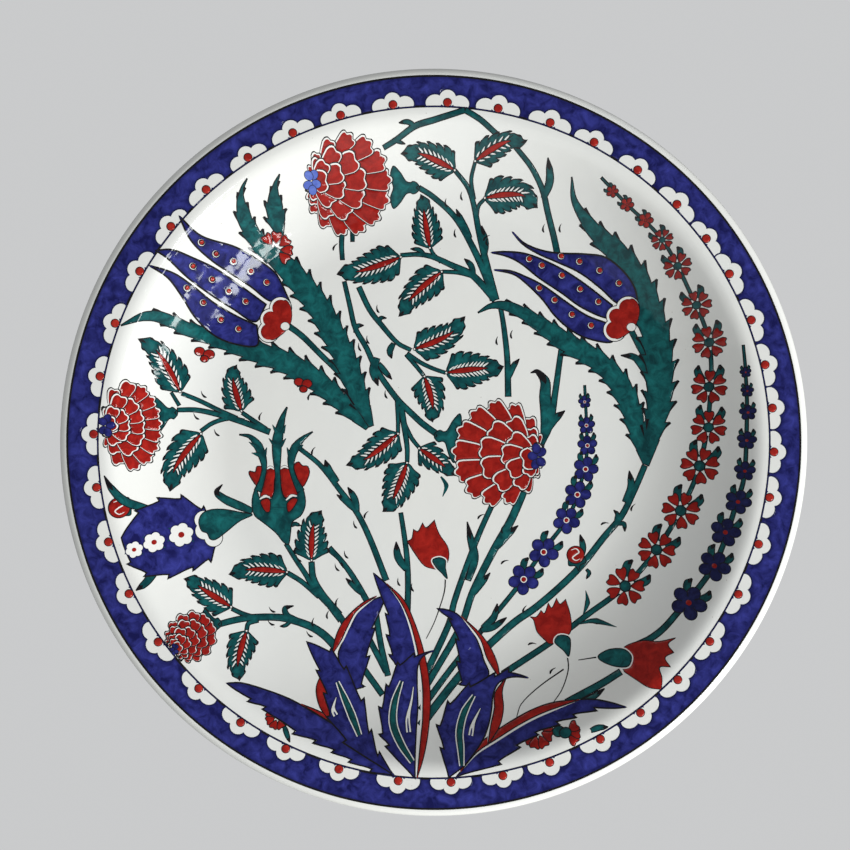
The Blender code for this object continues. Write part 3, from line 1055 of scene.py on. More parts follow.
# The red, the blue and the deep blue string of florets, and the leaflets beside them.
GARLANDS = [
    Garland(
        [(90, 142), (104, 128), (123, 109), (137, 84), (149, 54), (150, 20), (145, -13), (135, -37),
         (122, -59), (105, -79), (84, -95), (64, -110), (38, -127)],
        [(96, 135, 3.2), (104, 128, 3.6), (114, 119.5, 4.0), (123, 109, 5.5), (131.5, 95, 7),
         (142, 74, 7.5), (149, 54, 8.5), (149.5, 30, 9), (149.5, 8, 9), (145, -13, 10),
         (135, -37.5, 10), (122, -59, 10), (105, -79, 10.4)], Petals.HEARTS, Ink.RED, 7,
    ),
    Garland(
        [(83, 31), (84, 9), (84, -8), (79, -29), (73, -43), (60, -60), (45, -81), (31, -98), (13, -120),
         (-7, -146)],
        [(83, 22, 3.5), (84, 9, 4.7), (84.5, -2, 5.5), (83.5, -15, 7), (79, -29, 7.5), (73, -43, 7.5),
         (60.5, -60.5, 8.3), (49.5, -75.5, 8.5)], Petals.ROUNDS, Ink.COBALT, 5,
    ),
    Garland(
        [(165.5, 52), (167, 37), (168, 16), (167, -15), (163, -32), (151, -66), (130, -94), (119, -105),
         (106, -112)],
        [(167, 37.5, 2.8), (168, 27.5, 3.2), (168.5, 16, 4.2), (168, 1, 4.8), (167, -15.5, 5.2),
         (163.5, -32, 6.5), (157, -48.5, 7.5), (151, -66.5, 8), (137.5, -86.5, 9)], Petals.ROUNDS,
        Ink.NAVY, 5,
    ),
    Spray(
        [([(101, -124), (90, -131), (72, -141)], (3, 3.6))],
        [([(26, -103.5), (33, -101.5), (40, -96.5)], 3.4), ([(27, -102), (33, -96.5), (35, -89)], 3.6),
         ([(78, -141), (85, -138), (92, -133)], 2.8), ([(80, -65), (82, -58), (80.5, -51)], 3.4),
         ([(84, -70), (85.5, -72), (84, -75)], 1.8)],
    ),
]
# The three small red tulips.
RED_TULIPS = [
    RedTulip(
        [[(2, -48), (4, -52), (7.5, -57), (8.5, -62), (7, -67), (1.5, -70)], [(-5, -68), (-10.5, -61),
          (-14.5, -54.5)], [(-12, -53), (-11, -48)], [(-8.5, -49), (-6, -44.5)], [(-4, -47), (0.5, -43)]],
        [(1.5, -69), (-0.5, -65), (3, -63.5), (6.5, -65), (6.5, -69), (7.5, -75), (4.5, -72)],
        [[(6.5, -74), (6, -82), (3, -92), (0, -100), (-4, -108)]],
    ),
    RedTulip(
        [[(57, -104.5), (55, -98), (53, -96)], [(56.5, -96), (59, -92.5)], [(61, -94), (63, -88.5)],
         [(65, -91), (67.5, -86)], [(69.5, -89), (72.5, -86.5)], [(75, -94.5), (75.5, -103), (72, -107.5),
          (66, -110.5), (63, -110.5)]],
        [(66.5, -110), (68, -106.5), (72, -106), (75, -108.5), (74, -117), (71, -114)],
        [[(73, -116), (73.5, -124), (70, -134), (65, -141)], [(71, -124), (58, -133), (48, -142),
          (45, -149)]],
    ),
    RedTulip(
        [[(100.5, -117), (104, -111), (113, -107.5), (121, -107.5), (130, -105)], [(126, -108.5),
          (128.5, -112.5)], [(124, -115.5), (126.5, -120)], [(121, -120.5), (122, -126), (121.5, -132)],
         [(115, -131), (109.5, -128), (103, -124)]],
        [(89.5, -117), (92, -114.5), (97, -112.5), (103.5, -112.5), (107, -116), (105, -121),
         (98.5, -121.5), (92, -119.5)], [[(90, -117), (79, -119)]],
    ),
]
# The three upright leaves behind.
BACK_LEAVES = [
    Blade(
        [(-45, -136), (-39.5, -132.5), (-37, -118), (-34, -102.5), (-26, -84)],
        [(-35, -87.5), (-41.5, -92.5), (-47, -102), (-50.5, -111), (-52, -119)], side=-1,
    ),
    TurnedEdge(
        [(-31, -84.5), (-38.5, -88), (-47.5, -96), (-53, -105), (-56, -117)],
        [(-42, -92.5), (-47, -101), (-51, -109.5)],
    ),
    Blade(
        [(-21, -122), (-22.5, -117), (-24, -106.5), (-24.5, -95), (-33, -72)],
        [(-26, -78), (-20.5, -85), (-14, -94.5), (-11, -103.5), (-9, -118), (-14, -124)],
    ),
    Blade(
        [(20, -134), (15.5, -131.5), (14.5, -121), (14, -109), (10.5, -97.5), (2, -91.5)],
        [(7, -92), (13, -94.5), (19, -100.5), (24, -109), (27.5, -119.5), (30, -128)],
    ),
    TurnedEdge(
        [(15, -95.5), (24.5, -104), (31, -112.5), (35, -121.5), (36.5, -130)],
        [(20.5, -101.5), (26, -109), (29.5, -119)],
    ),
]
# The three broad leaves in front, with veins and white drops.
FRONT_LEAVES = [
    Blade(
        [(-21, -178), (-30, -168), (-35, -157), (-39.5, -141), (-49, -124.5), (-57, -115), (-69.5, -109.5)],
        far_teeth=[(-47, -160), (-56, -148), (-58, -137), (-62, -125)], side=-1,
    ),
    Vein([(-52.5, -131), (-48.5, -139.5), (-44.5, -148), (-40, -158)], (0.4, 2.2, 2.8, 1.2)),
    WhiteDrop([(-53, -148), (-54.5, -144.5), (-53, -139)]),
    TurnedEdge(
        [(-26, -77.5), (-16.5, -86.5), (-10.5, -99), (-5.5, -114.5), (-2.5, -129.5), (-1.8, -144.5),
         (-3.2, -158.5), (-5.5, -169), (-9, -179.5)],
        [(-18, -88), (-13, -99), (-9.7, -111), (-7.5, -123), (-6, -135), (-6, -150), (-7.3, -162.5)],
    ),
    Blade(
        [(-10, -179.5), (-24, -163), (-27.5, -157.5), (-28, -145), (-24.5, -134), (-18.5, -122.5),
         (-10.5, -118), (0.5, -114.5)],
        [(-5.5, -117.5), (-8.6, -123), (-9, -132.5), (-8.6, -144.5), (-9.4, -155.5), (-10, -169)],
    ),
    Vein(
        [(-17.5, -131), (-21.3, -142), (-22, -152.5), (-18, -162), (-11.5, -171)],
        (0.4, 2.4, 3.0, 2.6, 1.2),
    ),
    WhiteDrop([(-13.5, -157), (-14, -150), (-12, -141), (-11, -134)]),
    TurnedEdge(
        [(40, -128.5), (37.5, -136), (38, -145), (35.5, -154), (29, -163)],
        [(33.5, -137), (33, -145), (31, -153)],
    ),
    Blade(
        [(8, -179), (5.5, -165), (3.5, -154), (9, -143), (20, -134), (33.5, -128.5), (41, -126),
         (52, -129)],
        [(45, -128.5), (39.5, -129.5), (35, -132.5), (32.5, -138), (31.5, -146), (29.5, -154), (25.5, -162),
         (16.5, -172.5)],
    ),
    Vein([(22, -138.5), (16.5, -147.5), (14, -157), (14.5, -164.5), (15, -173)], (0.4, 2.4, 2.8, 2.4, 1.0)),
    WhiteDrop([(20, -158.5), (21.5, -152.5), (25.5, -145)]),
]


@dataclass
class FlowerDesign:
    """Everything painted on the face, group by group, in millimetres."""

    painting: Painting = field(default_factory=Painting)

    def paint(self) -> Painting:
        """Paint the whole face from the border to the front blossoms."""
        on = self.painting
        Scallops().paint(on)
        for group in (
            self.stalks, self.commas, self.long_leaves, self.sprig_leaves, self.carnations, self.tulips,
            self.garlands, self.red_flowers, self.sea_leaf, self.rosebud, self.foot_leaves,
        ):
            group()
        return on

    def stalks(self) -> None:
        """Green stalks and their leaflets."""
        Spray(STALKS, SPURS).paint(self.painting)

    def commas(self) -> None:
        """Loose black commas scattered beside the stalks."""
        root = (-5, -180)
        for x, z in COMMAS:
            Comma((x, z), heading(root, (x, z)) + 25 * (-1) ** round(x + z)).paint(self.painting)
        self.painting.stroke(Ink.GREEN, [(4, -19), (7, -24), (5, -30)], (1.0, 2.6, 0.4))

    def sprig_leaves(self) -> None:
        """Toothed leaves with red midribs."""
        for leaf in SPRIG_LEAVES:
            ToothedLeaf(*leaf).paint(self.painting)

    def long_leaves(self) -> None:
        """The large curved leaves behind the blue tulips."""
        on = self.painting
        paint_long_leaves(on, [LongLeaf(*leaf) for leaf in LONG_LEAVES])
        for turn in (128, 84, 40, -4, -44):
            on.inked(Ink.RED, placed(heart_petal(9.6, 2.9), (-86.5, 105.5), turn))
        for spot, radius in (
            ((-74, 33), 2.6), ((-69.5, 32), 2.8), ((-71.5, 29), 2.2), ((-128, 49.5), 2.8),
            ((-123, 48), 3.0), ((-125.5, 45.5), 2.2),
        ):
            on.inked(Ink.RED, disc(spot, radius, 0.85), 0.5)

    def carnations(self) -> None:
        """The four carnations and their cups."""
        for joint, mouth, width in (
            ((-8.5, 139), (-22, 139), 22), ((1, 3.5), (13, 2), 27), ((-140.5, 16), (-150, 15), 18),
            ((-116, -99), (-125, -98), 15),
        ):
            Calyx(joint, mouth, width).paint(self.painting)
        Carnation((-66, 141), (-45.5, 139.5), (23, 26), -12, tuft=Ink.SKY).paint(self.painting)
        Carnation((57, -8), (34.5, -6), (25, 28.5), 176).paint(self.painting)
        Carnation((-175, 9), (-162, 9), (14.5, 24), 3).paint(self.painting)
        small = {"rows": (1, 0.8, 0.6, 0.4, 0.2), "counts": (12, 10, 8, 6, 3)}
        Carnation((-138.5, -110.5), (-130, -104), (12.6, 12.6), 38, spread=96, **small).paint(self.painting)

    def tulips(self) -> None:
        """The two large blue tulips."""
        for tulip in TULIPS:
            tulip.paint(self.painting)

    def garlands(self) -> None:
        """The red, the blue and the deep blue strings of florets."""
        for garland in GARLANDS:
            garland.paint(self.painting)

    def red_flowers(self) -> None:
        """Small red tulips and buds."""
        on = self.painting
        for tulip in RED_TULIPS:
            tulip.paint(on)
        for centre, radius, cup in (((78, -62), 4.8, (79.5, -69.5)), ((-168.5, -35), 5.4, (-161, -34))):
            sepals = [(0, -2.2), (3.4, -3.4), (4.2, -1), (6.2, 0), (4.2, 1), (3.4, 3.4), (0, 2.2)]
            on.inked(
                Ink.GREEN,
                smooth(placed(np.array(sepals) * 1.1, centre, heading(centre, cup), 1.3), closed=True),
            )
            on.inked(Ink.RED, disc(centre, radius))
            swirl = np.array(
                [(-0.5, 0.55), (0.05, 0.7), (0.4, 0.3), (0.0, 0.0), (-0.35, -0.35), (0.05, -0.65),
                 (0.5, -0.45)]
            )
            on.stroke(Ink.BARE, placed(swirl, centre, 0, radius), (0.3, 0.7, 0.7, 0.3))
        for route, width in (
            ([(82, -95), (84.5, -88), (83.5, -81.5)], 3.0), ([(79, -100), (88, -98), (100, -101)], 3.4),
        ):
            on.stroke(Ink.BLACK, route, (0.5, width, 0.3))
            on.stroke(Ink.GREEN, route, (0.2, 0.6 * width, 0.1))

    def rosebud(self) -> None:
        """The rosebud, its sepals and its cup."""
        on = self.painting
        fan = [
            (-99.5, -40), (-106.5, -43.5), (-114.5, -50), (-119.5, -53.5), (-122.5, -53), (-124, -50),
            (-127, -48.5), (-128.5, -43.5), (-126.5, -39), (-121.5, -37), (-114.5, -37), (-106.5, -38.5),
        ]
        for ink, rim in ((Ink.BLACK, 1.9), (Ink.BARE, 1.5)):
            for x, z in ((-120.5, -52.5), (-125.5, -48.5), (-126, -42.5)):
                on.fill(ink, disc((x, z), 3.2 + rim))
        on.inked(Ink.GREEN, smooth(fan, closed=True))
        Spray(
            spurs=[([(-99.5, -38), (-108, -34.5), (-114.5, -31.5), (-119, -27.5), (-116, -23.5)], 4.4)]
        ).paint(on)
        for outline in (
            [(-97, -24), (-101, -18.5), (-101, -16), (-98, -16.5), (-97, -13.5), (-94, -14), (-94, -19)],
            [(-72, -24.5), (-76, -17), (-76.5, -12.5), (-74, -11), (-72, -13), (-69, -13.5), (-68.3, -18)],
            [(-92, -15.5), (-87, -15.5), (-87.5, -22), (-88.5, -30), (-95, -30), (-93, -22)],
            [(-84.5, -15.5), (-79, -15), (-77, -20), (-74.5, -29), (-81.5, -30.5), (-84, -23)],
        ):
            on.inked(Ink.RED, smooth(outline, closed=True))
        for route in (
            [(-92, -15), (-89.5, -13.8), (-87.5, -15)], [(-84.5, -15), (-82, -13.5), (-79.5, -14.5)],
        ):
            on.stroke(Ink.BLACK, route, (1.0, 1.7, 1.0))
            on.stroke(Ink.BARE, route, (0.6, 1.2, 0.6))
        bulb = [
            (-97.5, -25.5), (-99.7, -32), (-98.5, -40), (-92.5, -45), (-86.5, -50), (-82.5, -55),
            (-79.5, -56), (-78.5, -50), (-77.5, -44), (-72.5, -40), (-70.3, -33.5), (-72, -25.5), (-76, -30),
            (-81.5, -31), (-85.5, -26), (-88.5, -31), (-95, -31),
        ]
        outlines = [smooth(bulb, closed=True)]
        for route, widths in (
            ([(-96.5, -27), (-94, -20), (-93, -13), (-94.5, -6.5), (-97, -1), (-101, 3), (-106.5, 4)],
             (4.2, 2.8, 2.5, 4.0, 4.6, 2.4, 0.5)),
            ([(-73, -27), (-76.5, -20), (-78.3, -13), (-77.5, -6.5), (-74.5, -1), (-71, 2.5), (-66.5, 5.5)],
             (4.2, 2.8, 2.5, 4.0, 4.6, 2.4, 0.5)),
            ([(-85.5, -36), (-85.5, -22), (-86, -10), (-86, -2), (-85, 5), (-83, 13), (-80.5, 19)],
             (10, 3.6, 2.6, 4.6, 5.6, 3.6, 0.6)),
        ):
            outlines.append(brush(smooth(route), widths))
        on.merged(Ink.GREEN, outlines)
        for route in (
            [(-97, -3), (-101.5, 0)], [(-96, -7), (-100, -6)], [(-93, -7), (-91.5, -3)],
            [(-79, -7), (-80.5, -3)], [(-74, -4), (-71.5, -1.5)], [(-87, -2), (-90.5, 2)],
            [(-86, 5), (-88.5, 9.5)], [(-84, -2), (-81, 2)], [(-83, 5), (-81.2, 9.5)],
        ):
            on.stroke(Ink.BLACK, route, (2.6, 1.6, 0.3))
            on.stroke(Ink.GREEN, route, (2.4, 1.0, 0.1))
        for outline, arch in (
            ([(-95, -33), (-92, -31), (-89.7, -32.5), (-90, -38), (-92.5, -38)], [(-95.5, -31.5),
              (-92.5, -29.8), (-89.8, -30.5)]),
            ([(-80.5, -34), (-77.5, -31), (-74.7, -31.5), (-76.5, -35.5), (-79.7, -38.5)], [(-81, -32),
              (-78, -29.5), (-75, -29.8)]),
        ):
            on.inked(Ink.RED, smooth(outline, closed=True))
            on.stroke(Ink.BLACK, arch, (1.2, 2.1, 1.2))
            on.stroke(Ink.BARE, arch, (0.6, 1.5, 0.6))

    def sea_leaf(self) -> None:
        """The blue toothed leaf at the left, with its three white flowers."""
        on = self.painting
        Spray(
            spurs=[
                ([(-149, -68), (-154, -75), (-159, -79)], 4.0),
                ([(-152, -37), (-165, -32), (-172, -25), (-176, -18)], 4.2),
            ]
        ).paint(on)
        Blade(
            [(-119.5, -57), (-121, -46), (-127, -37), (-138, -31), (-149, -32), (-159, -38), (-167, -51)],
            far_teeth=[(-123, -64), (-131, -68), (-143, -71.5), (-154, -70), (-162, -64)], side=-1,
        ).paint(on)
        for centre, radius in (((-137.5, -50.5), 6.2), ((-151, -54), 5.2), ((-160.5, -57.5), 4.2)):
            for ear in (150, 205, 330):
                a = math.radians(ear)
                far = (centre[0] + 1.25 * radius * math.cos(a), centre[1] + 1.25 * radius * math.sin(a))
                on.stroke(Ink.GREEN, [centre, far], (1.8, 1.6, 0.3))
            oval = disc((0.6 * radius, 0), 0.42 * radius, sides=20)
            petals = [placed(oval, centre, 60 * k + 20) for k in range(6)]
            for petal in petals:
                on.fill(Ink.NAVY, grown(petal, 0.5))
            for petal in petals:
                on.fill(Ink.BARE, petal)
            on.fill(Ink.BARE, disc(centre, 0.4 * radius))
            on.fill(Ink.RED, disc(centre, 0.26 * radius))

    def foot_leaves(self) -> None:
        """The cluster of blue leaves with red backs at the foot of the bouquet."""
        self.low_florets()
        self.low_leaves()
        for leaf in BACK_LEAVES:
            leaf.paint(self.painting)
        self.painting.inked(
            Ink.RED,
            between([(-61, -126), (-64, -134), (-62, -143), (-56, -151)], [(-58, -134), (-57, -143)]),
        )
        for leaf in FRONT_LEAVES:
            leaf.paint(self.painting)

    def low_florets(self) -> None:
        """Small red florets under the two lying leaves."""
        on = self.painting
        for middle, reach, turns, green in (
            ((-83.5, -147), 6.6, (155, 200, 245, 290, 335), (-81, -145.5)),
            ((55.5, -155.5), 8.6, (215, 258, 300, 345, 25), (67, -155)),
            ((70.5, -155.5), 8.0, (-40, 0, 35), (70.5, -155.5)),
        ):
            for turn in turns:
                on.inked(Ink.RED, placed(heart_petal(reach, 0.34 * reach), middle, turn), 0.45)
            on.inked(Ink.GREEN, disc(green, 3.2, 0.8, 20))
        leaflets = [
            ([(-80, -152), (-78.5, -156), (-77, -160)], 2.4), ([(84, -154), (88, -152.5), (93, -152)], 3.0),
        ]
        Spray(spurs=leaflets).paint(on)

    def low_leaves(self) -> None:
        """The two long leaves that lie along the border."""
        on = self.painting
        Blade(
            [(-21, -178), (-33, -174.5), (-44, -169.5), (-53, -164.5), (-63, -159.5), (-74, -154.5),
             (-90, -142), (-98, -137.5), (-111, -129)],
            [(-103, -129.5), (-91, -133.5), (-77.5, -139), (-65, -146), (-54.5, -152),
             (-43.5, -158.5), (-33, -166)],
        ).paint(on)
        red = [(-72, -141.5), (-62, -145.5), (-53, -150), (-45, -154.5), (-37, -161)]
        on.inked(Ink.RED, between(red, [(-62, -147.5), (-53, -152.5), (-45, -157)]), 0.6)
        Blade(
            [(12, -178.5), (34.5, -170.5), (44.5, -162.5), (54.5, -156), (66, -150.5), (75, -146.5),
             (86, -142.5), (103, -141.5)],
            [(95, -139.5), (85, -138.5), (74, -140), (63.5, -143.5), (53.5, -147),
             (41.5, -153), (31.5, -160), (24, -165.5)], side=-1,
        ).paint(on)
        TurnedEdge(
            [(14, -176), (22, -164.5), (31.5, -157.5), (42, -151), (53.5, -145), (65, -141), (79, -139)],
            [(23, -166.5), (34.5, -159.5), (47.5, -152), (59, -146.5), (71, -142)],
        ).paint(on)


# ---- the fired form


@dataclass(frozen=True)
class PlateForm:
    """Turned form of the plate, in metres, placed by the frame.

    Attributes:
        centre: place of the plate's axis on the wall plane.
        radius: middle to lip.
    """

    centre: Vector
    radius: float
    thickness: float = 0.0088
    rim_width: float = 0.0225
    rim_angle: float = math.radians(5)
    wall_width: float = 0.0655
    wall_angle: float = math.radians(44)
    straight_width: float = 0.0096
    shoulder_radius: float = 0.012
    foot_setback: float = 0.002
    foot_wall: float = 0.009
    foot_height: float = 0.010
    foot_edge: float = 0.0012
    hole_diameter: float = 0.0055
    hole_spacing: float = 0.044

    @classmethod
    def from_frame(cls) -> "PlateForm":
        """Read the plate's place and size from its node's box."""
        low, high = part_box("plate")
        middle = Vector(((low[0] + high[0]) / 2, high[1], (low[2] + high[2]) / 2))
        return cls(middle, (high[0] - low[0]) / 2)

    @property
    def lip_radius(self) -> float:
        """Radius of the rounded lip."""
        return self.thickness / 2

    @property
    def floor_radius(self) -> float:
        """Radius of the flat floor."""
        return self.radius - self.rim_width - self.wall_width

    @property
    def foot_outer(self) -> float:
        """Outer radius of the foot ring."""
        return self.floor_radius - self.foot_setback

    @property
    def cove_width(self) -> float:
        """Width of the curve between floor and wall."""
        turn = math.sin(self.wall_angle) - math.sin(self.rim_angle)
        return self.wall_width - self.straight_width - self.shoulder_radius * turn

    @property
    def cove_radius(self) -> float:
        """Radius of the curve between floor and wall."""
        return self.cove_width / math.sin(self.wall_angle)

    def centres(self) -> tuple[Point, Point, Point]:
        """Centres of the cove, the shoulder and the lip, as radius and height above the wall plane."""
        cove = (self.floor_radius, self.foot_height + self.thickness + self.cove_radius)
        wall_end = cove[0] + self.cove_width + self.straight_width
        wall_top = cove[1] - self.cove_radius * math.cos(self.wall_angle)
        wall_top += self.straight_width * math.tan(self.wall_angle)
        shoulder = (
            wall_end + self.shoulder_radius * math.sin(self.wall_angle),
            wall_top - self.shoulder_radius * math.cos(self.wall_angle),
        )
        lip_place = self.radius - self.lip_radius
        rise = (lip_place - shoulder[0]) * math.tan(self.rim_angle)
        rise += (self.shoulder_radius - self.lip_radius) / math.cos(self.rim_angle)
        return cove, shoulder, (lip_place, shoulder[1] + rise)

    def face(self, reach: np.ndarray) -> tuple[np.ndarray, np.ndarray]:
        """Height and slope of the face.

        Args:
            reach: distances from the plate's axis.

        Returns:
            Heights above the wall plane, and slopes in radians.
        """
        cove, shoulder, lip = self.centres()
        wall_start = cove[0] + self.cove_width
        wall_end = wall_start + self.straight_width
        rim_start = shoulder[0] - self.shoulder_radius * math.sin(self.rim_angle)
        lip_start = lip[0] - self.lip_radius * math.sin(self.rim_angle)
        in_cove = np.clip((reach - cove[0]) / self.cove_radius, 0, math.sin(self.wall_angle))
        in_shoulder = np.clip((reach - shoulder[0]) / self.shoulder_radius, -1, 0)
        in_lip = np.clip((reach - lip[0]) / self.lip_radius, -1, 0.999)
        straight = cove[1] - self.cove_radius * math.cos(self.wall_angle)
        straight = straight + (reach - wall_start) * math.tan(self.wall_angle)
        rim_top = shoulder[1] + self.shoulder_radius * math.cos(self.rim_angle)
        zones = [reach < wall_start, reach < wall_end, reach < rim_start, reach < lip_start]
        heights = [
            cove[1] - self.cove_radius * np.sqrt(1 - in_cove**2), straight,
            shoulder[1] + self.shoulder_radius * np.sqrt(1 - in_shoulder**2),
            rim_top + (reach - rim_start) * math.tan(self.rim_angle),
        ]
        slopes = [
            np.arcsin(in_cove), self.wall_angle + 0 * reach, -np.arcsin(in_shoulder),
            self.rim_angle + 0 * reach,
        ]
        height = np.select(zones, heights, lip[1] + self.lip_radius * np.sqrt(1 - in_lip**2))
        return height, np.select(zones, slopes, -np.arcsin(in_lip))

    def laid(self, flat: np.ndarray, lift: np.ndarray) -> np.ndarray:
        """Lay places of the flat design onto the face.

        Args:
            flat: places in millimetres, one per row.
            lift: how far each stands above the face, in metres.

        Returns:
            The places in the frame.
        """
        place = flat * MM
        reach = np.hypot(place[:, 0], place[:, 1])
        height, _ = self.face(reach)
        facing = self.facing(flat)
        spot = np.stack([place[:, 0], -height, place[:, 1]], axis=1)
        return spot + facing * lift[:, None] + np.array(self.centre)

    def facing(self, flat: np.ndarray) -> np.ndarray:
        """Outward normals of the face at places of the flat design."""
        place = flat * MM
        reach = np.maximum(np.hypot(place[:, 0], place[:, 1]), 1e-9)
        _, slope = self.face(reach)
        inward = -np.sin(slope) / reach
        return np.stack([place[:, 0] * inward, -np.cos(slope), place[:, 1] * inward], axis=1)

    def section(self) -> list[Point]:
        """Half section, from the middle of the face round the lip to the middle of the back."""
        cove, shoulder, lip = self.centres()
        lip_start = lip[0] - self.lip_radius * math.sin(self.rim_angle)
        reach = np.concatenate([np.linspace(0, 0.1, 26), np.arange(0.102, lip_start, 0.0012), [lip_start]])
        height, _ = self.face(reach)
        half = [(float(r), float(h)) for r, h in zip(reach, height)]
        quarter = math.pi / 2
        half += arc(lip, self.lip_radius, quarter + self.rim_angle, -quarter + self.rim_angle, 22)[1:]
        half += arc(
            shoulder, self.shoulder_radius - self.thickness, quarter + self.rim_angle,
            quarter + self.wall_angle, 8,
        )
        half += arc(cove, self.cove_radius + self.thickness, self.wall_angle - quarter, -quarter, 36)
        edge, outer, inner = self.foot_edge, self.foot_outer, self.foot_outer - self.foot_wall
        fillet = 1.6 * edge
        half += arc((outer + fillet, self.foot_height - fillet), fillet, quarter, 2 * quarter, 6)
        half += arc((outer - edge, edge), edge, 0, -quarter, 6)
        half += arc((inner + edge, edge), edge, -quarter, -2 * quarter, 6)
        half += arc((inner - fillet, self.foot_height - fillet), fillet, 0, quarter, 6)
        half += [(r, self.foot_height) for r in (0.08, 0.06, 0.04, 0.02, 0.0)]
        return half


def arc(centre: Point, radius: float, start: float, end: float, count: int) -> list[Point]:
    """Points on an arc, angles in radians from the radial axis."""
    angles = np.linspace(start, end, count + 1)
    return [(centre[0] + radius * math.cos(a), centre[1] + radius * math.sin(a)) for a in angles]


# ---- finishes


def add_node(group: bpy.types.NodeTree, kind: str, inputs: dict | None = None, **settings) -> bpy.types.Node:
    """Add a node to a tree.

    Args:
        group: the tree.
        kind: the node's type.
        inputs: a socket to link, or a value to set, for each input by name or number.
        **settings: the node's own properties.

    Returns:
        The node.
    """
    made = group.nodes.new(kind)
    for key, value in settings.items():
        setattr(made, key, value)
    for key, value in (inputs or {}).items():
        if isinstance(value, bpy.types.NodeSocket):
            group.links.new(value, made.inputs[key])
        else:
            made.inputs[key].default_value = value
    return made


class Finish:
    """A material under construction."""

    def __init__(self, name: str, **inputs: float) -> None:
        """Start a material.

        Args:
            name: its name.
            **inputs: values of its shader's inputs.
        """
        self.material = bpy.data.materials.new(name)
        self.material.use_nodes = True
        self.group = self.material.node_tree
        self.shader = self.group.nodes["Principled BSDF"]
        for label, value in inputs.items():
            self.shader.inputs[label].default_value = value
        self.place = add_node(self.group, "ShaderNodeTexCoord").outputs["Object"]

    def noise(self, scale: float, detail: float, **inputs: float) -> bpy.types.NodeSocket:
        """Add clouds."""
        inputs |= {"Vector": self.place, "Scale": scale, "Detail": detail}
        return add_node(self.group, "ShaderNodeTexNoise", inputs).outputs["Fac"]

    def ranged(self, inputs: dict) -> bpy.types.NodeSocket:
        """Add a map range node."""
        return add_node(self.group, "ShaderNodeMapRange", inputs).outputs["Result"]

    def blend(self, share: Value, first: Colour | Value, second: Colour) -> bpy.types.NodeSocket:
        """Mix a colour, or a socket that gives one, with a second colour."""
        first = (*first, 1) if isinstance(first, tuple) else first
        inputs = {"Factor": share, "A": first, "B": (*second, 1)}
        return add_node(self.group, "ShaderNodeMix", inputs, data_type="RGBA").outputs["Result"]

    def bump(self, inputs: dict) -> bpy.types.NodeSocket:
        """Add a bump node."""
        return add_node(self.group, "ShaderNodeBump", inputs).outputs["Normal"]

    def link(self, value: bpy.types.NodeSocket, label: str) -> None:
        """Link a socket to an input of the shader."""
        self.group.links.new(value, self.shader.inputs[label])

    def glazed(self) -> bpy.types.Material:
        """Add a glaze's slow ripples and fine orange peel, and return the material."""
        normal = None
        for size, depth in ((0.016, 0.00022), (0.004, 0.000020)):
            inputs = {"Strength": 1.0, "Distance": depth, "Height": self.noise(1 / size, 1.5)}
            normal = self.bump(inputs | ({"Normal": normal} if normal else {}))
        self.link(normal, "Normal")
        return self.material


@dataclass(frozen=True)
class GlazedColour:
    """A pigment that has pooled and mottled under a clear glossy glaze.

    Attributes:
        name: the material's name.
        deep: colour where the pigment lies thick.
        light: colour where it lies thin.
        mottle: size of its clouds, in metres.
        pooling: how much darker its edges are, 0 to 1.
        roughness: gloss of the glaze over it.
        relief: how far it stands up from the white, in millimetres.
    """

    name: str
    deep: Colour
    light: Colour
    mottle: float = 0.006
    pooling: float = 0.5
    roughness: float = 0.07
    relief: float = 0.04

    def build(self) -> bpy.types.Material:
        """Make the material."""
        finish = Finish(self.name, Roughness=self.roughness, IOR=GLAZE_IOR)
        clouds = finish.noise(1 / self.mottle, 5, Roughness=0.62, Distortion=0.6)
        thin = finish.ranged({"Value": clouds, "From Min": 0.36, "From Max": 0.68})
        edge = add_node(finish.group, "ShaderNodeAttribute", attribute_name="edge").outputs["Fac"]
        shore = finish.ranged({"Value": edge, "From Max": 1.8, "To Min": 1 - self.pooling})
        both = add_node(finish.group, "ShaderNodeMath", {0: thin, 1: shore}, operation="MULTIPLY")
        finish.link(finish.blend(both.outputs[0], self.deep, self.light), "Base Color")
        return finish.glazed()


@dataclass(frozen=True)
class WhiteGlaze:
    """The warm white ground under clear glaze, with faint clouds and a few specks."""

    warm: Colour = (0.80, 0.80, 0.765)
    cool: Colour = (0.75, 0.765, 0.755)
    speck: Colour = (0.30, 0.25, 0.20)

    def build(self) -> bpy.types.Material:
        """Make the material."""
        finish = Finish("white_tin_glaze", Roughness=0.07, IOR=GLAZE_IOR)
        ground = finish.blend(finish.noise(14, 4), self.warm, self.cool)
        grains = add_node(finish.group, "ShaderNodeTexVoronoi", {"Vector": finish.place, "Scale": 95})
        pinhole = {"Value": grains.outputs["Distance"], "From Min": 0.035, "From Max": 0.02, "To Max": 0.5}
        finish.link(finish.blend(finish.ranged(pinhole), ground, self.speck), "Base Color")
        return finish.glazed()


